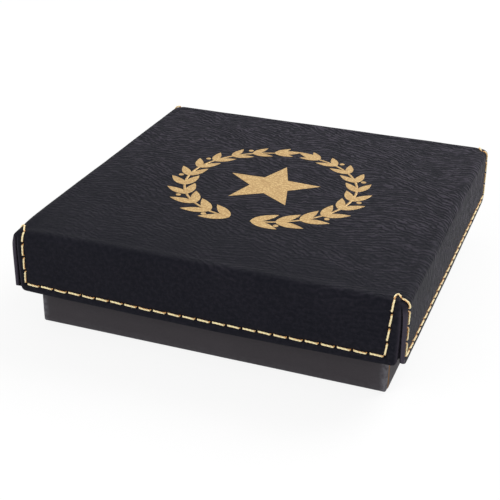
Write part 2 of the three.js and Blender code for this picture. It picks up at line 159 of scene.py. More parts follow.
class SeamSettings(bpy.types.PropertyGroup):
    pitch: length_property("Stitch length", "Distance from one needle hole to the next", 4.08)
    hem_margin: length_property("Hem margin", "Height of the seam above the hem", 2.7)
    feet: lengths_property(
        "Seam feet",
        "Place of each upright seam at the hem, two to a side, from the middle of its side",
        (-50.5, 49.2, -52.5, 52, -51, 50.6, -50.6, 47.9),
    )
    heads: lengths_property(
        "Seam heads",
        "Place of each upright seam at the fold, two to a side, from the middle of its side",
        (-50.7, 50.2, -52.3, 50.6, -51, 52.4, -52.4, 48.9),
    )
    turn_lifts: lengths_property(
        "Turn lifts", "How far each turn on top reaches past the seam", (3.1, -1, 0, -2)
    )
    turn_round: length_property("Turn rounding", "Length of the rounded turn", 2.4)
    channel_depth: length_property("Channel depth", "How far the thread pulls the skin in", 0.13)
    channel_width: length_property("Channel width", "Half width of that channel", 1.0)
    hole_depth: length_property("Hole depth", "Depth of the dimple at a needle hole", 0.34)
    hole_length: length_property("Hole length", "Half length of a needle hole", 0.5)
    hole_width: length_property("Hole width", "Half width of a needle hole", 0.42)
    ply_radius: length_property("Ply radius", "Radius of one ply of the thread", 0.14)
    ply_spread: length_property("Ply spread", "Distance of a ply from the thread's middle", 0.125)
    lying_height: length_property("Lying height", "Height of the thread's middle", 0.05)
    dive_depth: length_property("Dive depth", "Depth of the thread in a needle hole", 1.1)
    dive_start: share_property("Dive start", "Share of half a stitch that lies on the skin", 0.72)
    dive_end: share_property("Dive end", "Share of half a stitch where it is fully down", 0.92)
    slant: length_property("Slant", "How far a stitch's ends stand off the seam line", 0.1)
    wobble: length_property("Wobble", "Largest hand-made bow of a stitch", 0.12)
    twist: share_property("Twist", "Turns of the plies in one stitch", 1.5)
    plies: count_property("Plies", "Number of plies in the thread", 3)
    stitch_points: count_property("Stitch points", "Points along a stitch", 22)
    ply_sides: count_property("Ply sides", "Sides of one ply", 7)
    seed: count_property("Seed", "Seed of the hand-made wobble", 4)


class FoilSettings(bpy.types.PropertyGroup):
    wreath_radius: length_property("Wreath radius", "Radius of the wreath's stems", 25)
    star_radius: length_property("Star radius", "Distance of its points from the middle", 14.5)
    star_waist: share_property("Star waist", "Inner radius of the star over its outer one", 0.42)
    leaf_length: length_property("Leaf length", "Length of a leaf", 8.8)
    leaf_width: length_property("Leaf width", "Width of a leaf", 3.0)
    leaf_angle: angle_property("Leaf angle", "Angle of a leaf to the stem", math.radians(31))
    stem_width: length_property("Stem width", "Width of a stem", 0.7)
    berry_radius: length_property("Berry radius", "Radius of a berry", 0.75)
    thickness: length_property("Thickness", "How far the print stands proud", 0.035)
    opening: angle_property("Opening", "Half angle of the gap in the wreath", math.radians(17))
    leaf_pairs: count_property("Leaf pairs", "Pairs of leaves on a stem", 11)


class BaseSettings(bpy.types.PropertyGroup):
    paper_thickness: length_property("Paper thickness", "Thickness of the wrap", 0.4)
    edge_radius: length_property("Edge radius", "Rounding of the base's edges", 0.7)
    turn_in: length_property("Turn in", "Depth of the paper turned in over the rim", 14)
    turn_under: length_property("Turn under", "Width of the paper turned under", 14)
    overlap_setback: length_property("Overlap setback", "Side paper's edge to the corner", 1.3)
    overlap_step: length_property("Overlap step", "Thickness of the side paper's edge", 0.16)
    unevenness: length_property("Unevenness", "Height of the soft waves in the walls", 0.1)
    wave_size: length_property("Wave size", "Width of those waves", 26)


class InsertSettings(bpy.types.PropertyGroup):
    velvet_thickness: length_property("Velvet thickness", "Thickness of the velvet", 0.5)
    glue_line: length_property("Glue line", "Gap between the velvet and the foam", 0.2)
    recess_radius: length_property("Recess radius", "Radius of the medal's recess", 35.5)
    notch_radius: length_property("Notch radius", "Radius of a finger notch", 11)
    notch_offset: length_property("Notch offset", "Distance of a notch from the middle", 30)
    edge_radius: length_property("Edge radius", "Rounding of the insert's outer edge", 1.2)
    lip_radius: length_property("Lip radius", "Rounding of the recess's lip", 1.3)
    cove_radius: length_property("Cove radius", "Rounding at the foot of the recess's wall", 0.8)
    crown: length_property("Crown", "Swelling of the padded top", 0.35)
    foam_edge: length_property("Foam edge", "Rounding of the foam's edges", 0.5)


class FinishSettings(bpy.types.PropertyGroup):
    leatherette: colour_property("Leatherette", "Main colour of the lid's skin", srgb(10, 11, 18))
    # Painted highlight: the lighter colour painted on the grain's ridges and on the flaps' cut
    # edges.
    leatherette_highlight: colour_property(
        "Leatherette, highlight", "Colour on the high spots of the grain", srgb(66, 61, 71)
    )
    thread: colour_property("Thread", "Colour of the seam's thread", srgb(255, 243, 190))
    thread_shade: colour_property("Thread, shade", "Colour between the plies", srgb(216, 142, 52))
    bobbin: colour_property("Bobbin thread", "Colour of the hidden thread", srgb(58, 52, 46))
    gold: colour_property("Gold print", "Main colour of the printed wreath", srgb(183, 148, 97))
    # Partly the print's own speckle and partly painted glints.
    gold_speckle_and_glint: colour_property(
        "Gold print, speckle and glint", "Colour of its bright grain", srgb(236, 204, 142)
    )
    base_paper: colour_property("Base paper", "Colour of the base's paper", srgb(52, 48, 52))
    paper_core: colour_property("Paper core", "Colour of the paper's cut edge", srgb(132, 98, 62))
    lining_paper: colour_property("Lining paper", "Colour inside the lid", srgb(40, 37, 41))
    fibre_board: colour_property("Fibre board", "Colour of the lid's boards", srgb(72, 62, 52))
    grey_board: colour_property("Grey board", "Colour of the base's board", srgb(150, 146, 140))
    kraft_tape: colour_property("Kraft tape", "Colour of the corner stays", srgb(182, 144, 98))
    velvet: colour_property("Velvet", "Colour of the insert's velvet", srgb(17, 17, 21))
    foam: colour_property("Foam", "Colour of the insert's foam", srgb(46, 46, 52))


class StageSettings(bpy.types.PropertyGroup):
    camera_place: place_property(
        "Camera place", "Where the camera stands", (0.099179, -0.281596, 0.158944)
    )
    camera_target: place_property(
        "Camera target", "The point that the camera looks at", (-0.002431, -0.010049, 0.01296)
    )
    camera_roll: angle_property("Camera roll", "Turn about the view", 0.01065)
    camera_lens: FloatProperty(
        name="Camera lens", description="Focal length in millimetres", default=80.45
    )
    floor_size: length_property("Floor size", "Width of the floor", 4000)
    sky_strength: share_property("Sky strength", "Even light from all round", 0.62)
    key_strength: share_property("Key strength", "Light that the key gives", 0.75)
    fill_strength: share_property("Fill strength", "Light that the fill gives", 0.34)
    floor_whiteness: share_property("Floor whiteness", "How much its shade is lifted", 0.86)


# Node helpers


class Field:
    """A node's output, which can be written into sums and products."""

    def __init__(self, nodes, socket):
        self.nodes, self.socket = nodes, socket

    def __add__(self, other):
        return self.nodes.math("ADD", self, other)

    def __sub__(self, other):
        return self.nodes.math("SUBTRACT", self, other)

    def __rsub__(self, other):
        return self.nodes.math("SUBTRACT", other, self)

    def __mul__(self, other):
        return self.nodes.math("MULTIPLY", self, other)

    def __rtruediv__(self, other):
        return self.nodes.math("DIVIDE", other, self)

    def remap(self, low, high, to_low=0.0, to_high=1.0, smooth=True):
        """The value brought from one range to another and held in it."""
        kind = "SMOOTHSTEP" if smooth else "LINEAR"
        inputs = {"Value": self, 1: low, 2: high, 3: to_low, 4: to_high}
        return self.nodes.add("ShaderNodeMapRange", inputs, interpolation_type=kind)


class Nodes:
    """Adds nodes to one tree."""

    def __init__(self, tree):
        self.tree = tree

    def feed(self, socket, value):
        """Links a Field or a list of Fields to a socket, or sets the socket's own value."""
        if isinstance(value, list):
            for part in value:
                self.feed(socket, part)
        elif isinstance(value, Field):
            self.tree.links.new(value.socket, socket)
        elif socket.type == "RGBA" and len(value) == 3:
            socket.default_value = (*value, 1)
        else:
            socket.default_value = value

    def node(self, kind, inputs=None, **settings):
        node = self.tree.nodes.new(kind)
        for name, value in settings.items():
            setattr(node, name, value)
        for key, value in (inputs or {}).items():
            self.feed(node.inputs[key], value)
        return node

    def add(self, kind, inputs=None, output=0, **settings):
        """One output of a new node."""
        return Field(self, self.node(kind, inputs, **settings).outputs[output])

    def outputs(self, kind, inputs=None, **settings):
        """The outputs of a new node by their names."""
        node = self.node(kind, inputs, **settings)
        return {socket.name: Field(self, socket) for socket in node.outputs}

    def math(self, operation, *values):
        return self.add("ShaderNodeMath", dict(enumerate(values)), operation=operation)

    def vector(self, operation, *values, output="Vector"):
        inputs = dict(enumerate(values))
        return self.add("ShaderNodeVectorMath", inputs, output, operation=operation)

    def scale(self, vector, share):
        inputs = {0: vector, "Scale": share}
        return self.add("ShaderNodeVectorMath", inputs, operation="SCALE")

    def xyz(self, x=0.0, y=0.0, z=0.0):
        return self.add("ShaderNodeCombineXYZ", {"X": x, "Y": y, "Z": z})

    def blend(self, share, first, second):
        return self.add("ShaderNodeMix", {0: share, 2: first, 3: second})

    def blend_colour(self, share, first, second):
        inputs = {0: share, 6: first, 7: second}
        return self.add("ShaderNodeMix", inputs, 2, data_type="RGBA")

    def noise(self, vector, size, detail=2.0, roughness=0.5, distortion=0.0, output=0):
        """Noise from 0 to 1 in patches about one size wide."""
        inputs = {"Vector": vector, "Scale": 1 / size, "Detail": detail}
        inputs |= {"Roughness": roughness, "Distortion": distortion}
        return self.add("ShaderNodeTexNoise", inputs, output)

    def effect(self, name, inputs):
        """A shared effect's outputs. Its group is made the first time it is asked for."""
        group = bpy.data.node_groups.get(name) or effect_group(name)
        return self.outputs("ShaderNodeGroup", inputs, node_tree=group)


# Shared surface effects


def crease_grain(nodes, given):
    """Soft ripples that cross and break up into short creases, as on brushed leatherette."""
    vector = drift = given["Vector"]
    for reach in ("Wander", "Break"):
        spread = nodes.noise(vector, given[f"{reach} size"], 1, output="Color")
        centred = nodes.vector("SUBTRACT", spread, (0.5, 0.5, 0.5))
        drift = nodes.vector("ADD", drift, nodes.scale(centred, given[reach]))
    turns = 2 * math.pi / given["Pitch"]
    directions, stretch, pebble_height = (-0.5, 0.2), (0.45, 1, 1), 5.0
    ripples = []
    for angle in directions:
        across = (-math.sin(angle), math.cos(angle), 0)
        phase = nodes.vector("DOT_PRODUCT", drift, across, output="Value") * turns
        ripples.append(nodes.math("SINE", phase))
    share = nodes.noise(vector, given["Wander size"], 1).remap(0.4, 0.58)
    stretched = nodes.vector("MULTIPLY", drift, stretch)
    pebbles = (nodes.noise(stretched, given["Pitch"], 1) - 0.5) * pebble_height
    wave = nodes.blend(0.5, nodes.blend(share, *ripples), pebbles)
    strength = nodes.noise(drift, given["Break size"]).remap(0.32, 0.58, 0.2, 1.0)
    height = (wave * strength).remap(-1.0, 1.0, smooth=False)
    return {"Height": height, "Creases": height.remap(0.15, 0.5, 1.0, 0.0)}


def fine_tooth(nodes, given):
    """Fine even tooth with a few stray specks, as on paper, suede and printed film."""
    vector, speck, specks_in_patch = given["Vector"], given["Speck size"], 6.25
    cells = nodes.outputs("ShaderNodeTexVoronoi", {"Vector": vector, "Scale": 1 / speck})
    lot = nodes.add("ShaderNodeSeparateColor", {0: cells["Color"]})
    chosen = nodes.math("LESS_THAN", lot, given["Speck share"])
    return {
        "Height": nodes.noise(vector, given["Tooth size"], 3, 0.6),
        "Specks": cells["Distance"].remap(0.05, 0.12, 1.0, 0.0) * chosen,
        "Patches": nodes.noise(vector, speck * specks_in_patch),
    }


def long_fibres(nodes, given):
    """Short fibres lying every way, as in board, kraft paper and velvet backing."""
    squeeze = nodes.xyz(given["Length share"], 1.0, 1.0)
    height, directions = None, (0.3, 1.4, 2.5)
    for turn in directions:
        inputs = {"Vector": given["Vector"], "Angle": turn}
        rotated = nodes.add("ShaderNodeVectorRotate", inputs, rotation_type="Z_AXIS")
        squeezed = nodes.vector("MULTIPLY", rotated, squeeze)
        fibres = nodes.noise(squeezed, given["Fibre width"], 1)
        height = fibres if height is None else nodes.math("MAXIMUM", height, fibres)
    return {"Height": height, "Fibres": height.remap(0.62, 0.78)}


def worn_and_lit_edge(nodes, given):
    """Rubbed spots along an edge, which stand for real wear and for a painted highlight on the
    edge. The edge comes in as a value from 0 to 1.
    """
    spots = nodes.noise(given["Vector"], given["Spot size"], 3, 0.6)
    lifted = spots + (given["Amount"] - 0.5)
    return {"Wear": lifted.remap(0.35, 0.75) * given["Edge"]}


EFFECTS = {
    "crease grain": (
        crease_grain,
        {
            "Pitch": 1.55 * MM,
            "Wander": 9 * MM,
            "Wander size": 22 * MM,
            "Break": 2.4 * MM,
            "Break size": 2.4 * MM,
        },
    ),
    "fine tooth": (
        fine_tooth,
        {"Tooth size": 0.3 * MM, "Speck size": 2.2 * MM, "Speck share": 0.3},
    ),
    "long fibres": (long_fibres, {"Fibre width": 0.16 * MM, "Length share": 0.12}),
    "worn edge": (worn_and_lit_edge, {"Edge": 0.0, "Spot size": 1.4 * MM, "Amount": 0.6}),
}


def effect_group(name):
    """The node group of one effect: a vector and values go in, and its results come out."""
    effect, values = EFFECTS[name]
    tree = bpy.data.node_groups.new(name, "ShaderNodeTree")
    new_socket = tree.interface.new_socket
    new_socket("Vector", in_out="INPUT", socket_type="NodeSocketVector")
    for label, value in values.items():
        socket = new_socket(label, in_out="INPUT", socket_type="NodeSocketFloat")
        socket.default_value = value
    nodes = Nodes(tree)
    results = effect(nodes, nodes.outputs("NodeGroupInput"))
    for label in results:
        new_socket(label, in_out="OUTPUT", socket_type="NodeSocketFloat")
    nodes.node("NodeGroupOutput", results)
    return tree


# Materials


def bare_tree(owner):
    """The emptied node tree of a material or a world."""
    owner.use_nodes = True
    owner.node_tree.nodes.clear()
    return owner.node_tree


def toned(colour, share):
    return tuple(min(1, share * value) for value in colour)


class MaterialNodes(Nodes):
    """The nodes of a new material."""

    def __init__(self, name):
        self.material = bpy.data.materials.new(name)
        super().__init__(bare_tree(self.material))

    def place(self):
        return self.add("ShaderNodeTexCoord", output="Object")

    def mark(self, name):
        """A value stored on the mesh."""
        return self.add("ShaderNodeAttribute", output="Fac", attribute_name=name)

    def surface(self, colour, roughness, height, depth, levels=None):
        """Ends the material in its shader. A height of 1 stands for the depth given."""
        bump = self.add("ShaderNodeBump", {"Height": height, "Distance": depth, "Strength": 1.0})
        inputs = {"Base Color": colour, "Roughness": roughness, "Normal": bump, **(levels or {})}
        return self.end(self.add("ShaderNodeBsdfPrincipled", inputs))

    def end(self, shader):
        self.node("ShaderNodeOutputMaterial", {"Surface": shader})
        return self.material


def leatherette_material(finish):
    """Dark matt leatherette: smooth and suede-like at the front, creased towards the back. The
    grain's ridges are painted lighter over its dark valleys as painted highlight and shade, more so
    towards the back and on the left and right flaps.
    """
    nodes = MaterialNodes("leatherette")
    sheet = nodes.add("ShaderNodeUVMap", uv_map="sheet")
    grain = nodes.effect("crease grain", {"Vector": sheet})
    tooth = nodes.effect("fine tooth", {"Vector": sheet, "Tooth size": 0.34 * MM})
    axes = nodes.outputs("ShaderNodeSeparateXYZ", {0: sheet})
    patch_size, patch_drift, slant = 30 * MM, 90 * MM, 0.25
    drift = (nodes.noise(sheet, patch_size) - 0.5) * patch_drift
    # Where the grain grows, and with it the painted highlight on its ridges: from the front towards
    # the back, and stronger on the left and right flaps.
    from_front = axes["Y"] + axes["X"] * slant + drift
    creased_and_lit = from_front.remap(-66 * MM, 50 * MM, smooth=False)
    for axis, side_share in (("X", 1.4), ("Y", 0.4)):
        reach = nodes.math("ABSOLUTE", axes[axis])
        creased_and_lit = creased_and_lit * reach.remap(51 * MM, 58 * MM, 1.0, side_share)
    grain_highlight_share, speck_share, suede_share, cloud_share = 0.66, 0.7, 0.11, 0.08
    # Painted highlight: the grain's high spots are painted in the lighter colour.
    lit = grain["Height"].remap(0.42, 0.78) * (creased_and_lit * grain_highlight_share)
    suede = nodes.noise(sheet, 1.1 * MM, 3, 0.7).remap(0.38, 0.7) + tooth["Specks"] * speck_share
    light_share = lit + (suede * suede_share + tooth["Patches"] * cloud_share)
    colour = nodes.blend_colour(light_share, finish.leatherette, finish.leatherette_highlight)
    # Painted highlight: the flaps' cut edges beside the slit are painted lighter in rubbed spots.
    edge = {"Vector": sheet, "Edge": nodes.mark("cut_edge"), "Spot size": 0.7 * MM, "Amount": 0.8}
    rubbed_and_lit = nodes.effect("worn edge", edge)["Wear"]
    colour = nodes.blend_colour(rubbed_and_lit, colour, finish.leatherette_highlight)
    return nodes.surface(
        # Painted shade: the needle holes are painted near black.
        colour=nodes.blend_colour(nodes.mark("needle_hole"), colour, srgb(3, 3, 4)),
        roughness=tooth["Height"].remap(0.2, 0.8, 0.62, 0.76),
        height=grain["Height"] * nodes.math("POWER", creased_and_lit, 0.5) + tooth["Height"] * 0.1,
        depth=0.45 * MM,
        levels={
            "Specular IOR Level": 0.1,
            "Specular Tint": (0.8, 0.85, 1),
            "Sheen Weight": 0.02,
            "Sheen Roughness": 0.45,
        },
    )


def thread_material(finish):
    """Twisted gold thread, with painted shade in the grooves between its plies and down its lower
    sides.
    """
    nodes = MaterialNodes("gold thread")
    groove_shade, lightening, hair_shade = 1.1, 0.35, 0.25
    hairs = nodes.noise(nodes.place(), 0.12 * MM, 3, 0.6)
    # Painted shade: the grooves and lower sides take the darker orange colour.
    shade = nodes.mark("groove") * groove_shade - lightening + hairs * hair_shade
    return nodes.surface(
        colour=nodes.blend_colour(shade, finish.thread, finish.thread_shade),
        roughness=hairs.remap(0.2, 0.8, 0.38, 0.6),
        height=hairs,
        depth=0.05 * MM,
        levels={
            "Specular IOR Level": 0.9,
            "Sheen Weight": 0.9,
            "Sheen Roughness": 0.35,
            "Sheen Tint": (1, 0.8, 0.45),
        },
    )


def gold_print_material(finish):
    """Printed gold film with the grain of the leatherette under it: its fine tooth is painted
    lighter, partly as its own speckle and partly as painted glints, and the grain's creases get
    painted shade.
    """
    nodes = MaterialNodes("gold print")
    place = nodes.place()
    tooth = nodes.effect("fine tooth", {"Vector": place, "Tooth size": 0.5 * MM})["Height"]
    grain = nodes.effect("crease grain", {"Vector": place})
    # Painted light: glints on the fine tooth, and shade in the leatherette's creases.
    crease_shade = 0.5
    lit = tooth.remap(0.4, 0.72) - grain["Creases"] * crease_shade
    return nodes.surface(
        colour=nodes.blend_colour(lit, finish.gold, finish.gold_speckle_and_glint),
        roughness=tooth.remap(0.3, 0.8, 0.62, 0.4),
        height=grain["Height"] + tooth,
        depth=0.06 * MM,
        levels={"Metallic": tooth.remap(0.35, 0.7, 0.25, 0.5)},
    )


def paper_material(name, colour, core, wear_and_highlight_amount, roughness=0.7):
    """Dyed paper with a fine tooth, rubbed and painted lighter along its edges as wear and painted
    highlight, and pale where it is cut.
    """
    nodes = MaterialNodes(name)
    place = nodes.place()
    tooth = nodes.effect("fine tooth", {"Vector": place, "Tooth size": 0.26 * MM})
    fibres = nodes.effect("long fibres", {"Vector": place})
    edge = {"Vector": place, "Edge": nodes.mark("edge"), "Amount": wear_and_highlight_amount}
    wear_and_highlight_share, cloud_share, fibre_share, speck_share, lift_tone = 0.32, 0.22, 0.05, 0.1, 3
    worn_and_lit = nodes.effect("worn edge", edge)["Wear"] * wear_and_highlight_share
    lift = (tooth["Patches"] - 0.5) * cloud_share + fibres["Fibres"] * fibre_share
    lift = lift + tooth["Specks"] * speck_share
    dyed = nodes.blend_colour(lift, colour, toned(colour, lift_tone))
    # Partly wear and partly painted highlight: the edges are painted a pale bluish grey.
    rubbed_and_lit = nodes.blend_colour(worn_and_lit, dyed, srgb(150, 150, 158))
    return nodes.surface(
        colour=nodes.blend_colour(nodes.mark("cut"), rubbed_and_lit, core),
        roughness=tooth["Height"].remap(0.2, 0.8, roughness, 0.86),
        height=tooth["Height"] + fibres["Height"],
        depth=0.035 * MM,
        levels={"Specular IOR Level": 0.35},
    )


def board_material(name, colour, dark):
    """Pressed board: long fibres, small dark flecks and a cloudy tone."""
    nodes = MaterialNodes(name)
    place = nodes.place()
    fibres = nodes.effect("long fibres", {"Vector": place, "Fibre width": 0.22 * MM})
    specks = {"Vector": place, "Speck size": 1.3 * MM, "Speck share": 0.5}
    tooth = nodes.effect("fine tooth", specks)
    fibre_share, cloud_share = 0.35, 0.35
    shade = fibres["Fibres"] * fibre_share + tooth["Patches"] * cloud_share + tooth["Specks"]
    return nodes.surface(
        colour=nodes.blend_colour(shade, colour, dark),
        roughness=tooth["Height"].remap(0.2, 0.8, 0.82, 0.96),
        height=fibres["Height"],
        depth=0.08 * MM,
    )


def velvet_material(finish):
    """Short pile velvet: dark head on, with a soft pale bloom at a slant."""
    nodes = MaterialNodes("velvet")
    place = nodes.place()
    pile_size, stroke_size, stroke_share, pile_share, lit_tone = 0.28 * MM, 14 * MM, 0.6, 0.35, 2.4
    pile = nodes.noise(place, pile_size, 3, 0.6)
    strokes = nodes.noise(place, stroke_size, distortion=0.6)
    shade = strokes.remap(0.35, 0.65) * stroke_share + pile * pile_share
    return nodes.surface(
        colour=nodes.blend_colour(shade, finish.velvet, toned(finish.velvet, lit_tone)),
        roughness=pile.remap(0.2, 0.8, 0.82, 1.0),
        height=pile,
        depth=0.14 * MM,
        levels={
            "Specular IOR Level": 0.2,
            "Sheen Weight": 0.55,
            "Sheen Roughness": 0.35,
            "Sheen Tint": srgb(150, 150, 170),
        },
    )


def foam_material(finish):
    """Open cell foam: small round pores of mixed size, with painted shade inside them."""
    nodes = MaterialNodes("foam")
    place = nodes.place()
    pore_size, cloud_size, pore_shade_tone = 0.7 * MM, 6 * MM, 0.35
    cells = {"Vector": place, "Scale": 1 / pore_size}
    pores = nodes.add("ShaderNodeTexVoronoi", cells, "Distance").remap(0.2, 0.55)
    cloud = nodes.noise(place, cloud_size, 3)
    # Painted shade: each pore is painted darker towards its middle.
    shade = pores * cloud.remap(0.3, 0.7, 0.7, 1.0)
    return nodes.surface(
        colour=nodes.blend_colour(shade, toned(finish.foam, pore_shade_tone), finish.foam),
        roughness=cloud.remap(0.2, 0.8, 0.86, 0.98),
        height=pores,
        depth=0.25 * MM,
    )


def bobbin_material(finish):
    """Dull dark thread with a fine hairy surface."""
    nodes = MaterialNodes("bobbin thread")
    hair_size, hair_tone = 0.2 * MM, 2.2
    hairs = nodes.noise(nodes.place(), hair_size, 3, 0.6)
    return nodes.surface(
        colour=nodes.blend_colour(hairs, finish.bobbin, toned(finish.bobbin, hair_tone)),
        roughness=hairs.remap(0.2, 0.8, 0.7, 0.9),
        height=hairs,
        depth=0.05 * MM,
    )


# Mesh helpers


def show(name, data):
    """A new object of the scene."""
    made = bpy.data.objects.new(name, data)
    bpy.context.scene.collection.objects.link(made)
    return made


def new_piece(mesh, material, body):
    """A finished piece on a body of the frame, with its material."""
    piece = show(mesh.name, mesh)
    mesh.materials.clear()
    mesh.materials.append(material)
    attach(piece, body)
    return piece


def smooth_step(values, low, high):
    share = np.clip((values - low) / (high - low), 0, 1)
    return share * share * (3 - 2 * share)


def bell(distance, width):
    return np.exp(-((distance / width) ** 2))


def quarter_steps(count, first=1):
    """The sine and cosine at even steps of a quarter turn."""
    angles = [QUARTER * step / count for step in range(first, count + 1)]
    return [(math.sin(angle), math.cos(angle)) for angle in angles]


def turned(points, side):
    """Points turned about the upright axis to another side of the box."""
    angle = side * QUARTER
    x, y = points[..., 0], points[..., 1]
    moved = np.array(points, float)
    moved[..., 0] = x * math.cos(angle) - y * math.sin(angle)
    moved[..., 1] = x * math.sin(angle) + y * math.cos(angle)
    return moved


def soft_waves(points, size, seed):
    """Slow noise from -1 to 1 at each point."""
    shift = Vector((seed, 2 * seed, 3 * seed))
    return np.array([noise.noise(Vector(point) / size + shift) for point in points])


def graded_stops(start, end, centres, offsets, step, least):
    """Stops from start to end: close together round each centre, and a step apart elsewhere."""
    wanted = [start, end]
    for centre in centres:
        wanted += [centre + offset for offset in offsets if start < centre + offset < end]
    kept = [start]
    for stop in sorted(wanted):
        if stop - kept[-1] >= least:
            kept.append(stop)
    kept[-1] = end
    stops, slack = [start], 0.2
    for low, high in zip(kept, kept[1:]):
        count = max(1, math.ceil((high - low) / step - slack))
        stops += [low + (high - low) * (index + 1) / count for index in range(count)]
    return stops


def both_ways(*millimetres):
    distances = [length * MM for length in millimetres]
    return sorted({-d for d in distances} | {0} | set(distances))


def mesh_from_rings(name, rings, loop=False):
    """A closed skin over rings of points, each with as many as the last, or half or twice.

    The last ring joins the first one, or else a middle point closes either end.
    """
    starts = np.cumsum([0] + [len(ring) for ring in rings]).tolist()
    points, faces = np.concatenate(rings).tolist(), []
    places = list(zip(starts, [len(ring) for ring in rings]))
    for low, high in zip(places, places[1:] + places[:1] if loop else places[1:]):
        faces += bridge_faces(*low, *high)
    for index, direction in () if loop else ((0, -1), (-1, 1)):
        start, count = places[index]
        fan = [(start + j, start + (j + 1) % count, len(points)) for j in range(count)]
        faces += [face[::direction] for face in fan]
        points.append(rings[index].mean(axis=0).tolist())
    mesh = bpy.data.meshes.new(name)
    mesh.from_pydata(points, [], faces)
    mesh.shade_smooth()
    return mesh


def bridge_faces(low, low_count, high, high_count):
    """Faces between two rings, of which one may have half as many points."""
    if low_count < high_count:
        return [face[::-1] for face in bridge_faces(high, high_count, low, low_count)]
    after = [(j, (j + 1) % high_count) for j in range(high_count)]
    if low_count == high_count:
        return [(low + j, low + k, high + k, high + j) for j, k in after]
    if low_count != 2 * high_count:
        raise ValueError(f"rings of {low_count} and {high_count} points don't match")
    faces = []
    for j, k in after:
        a, b, c = low + 2 * j, low + 2 * j + 1, low + 2 * k
        faces += [(a, b, high + j), (b, high + k, high + j), (b, c, high + k)]
    return faces


def store(mesh, name, values, kind="FLOAT"):
    """Stores a value or a vector at each point, and zero at the middle points after them."""
    key, width = ("vector", 3) if kind == "FLOAT_VECTOR" else ("value", 1)
    padded = np.zeros(len(mesh.vertices) * width, np.float32)
    padded[:np.size(values)] = np.ravel(values)
    mesh.attributes.new(name, kind, "POINT").data.foreach_set(key, padded)


def read_array(items, name, width=1):
    """One property of every vertex, loop or face, as an array."""
    values = np.zeros(len(items) * width, float if width > 1 else int)
    items.foreach_get(name, values)
    return values.reshape(-1, width) if width > 1 else values


def finder(points):
    """A search tree over points."""
    tree = KDTree(len(points))
    for index, point in enumerate(points):
        tree.insert(point, index)
    tree.balance()
    return tree


def evaluated_mesh(carrier, name):
    """The mesh of an object with its modifiers run. The object is then removed."""
    graph = bpy.context.evaluated_depsgraph_get()
    made = bpy.data.meshes.new_from_object(
        carrier.evaluated_get(graph), preserve_all_data_layers=True, depsgraph=graph
    )
    carrier.modifiers.clear()
    bpy.data.objects.remove(carrier)
    made.name = name
    return made


# Seam


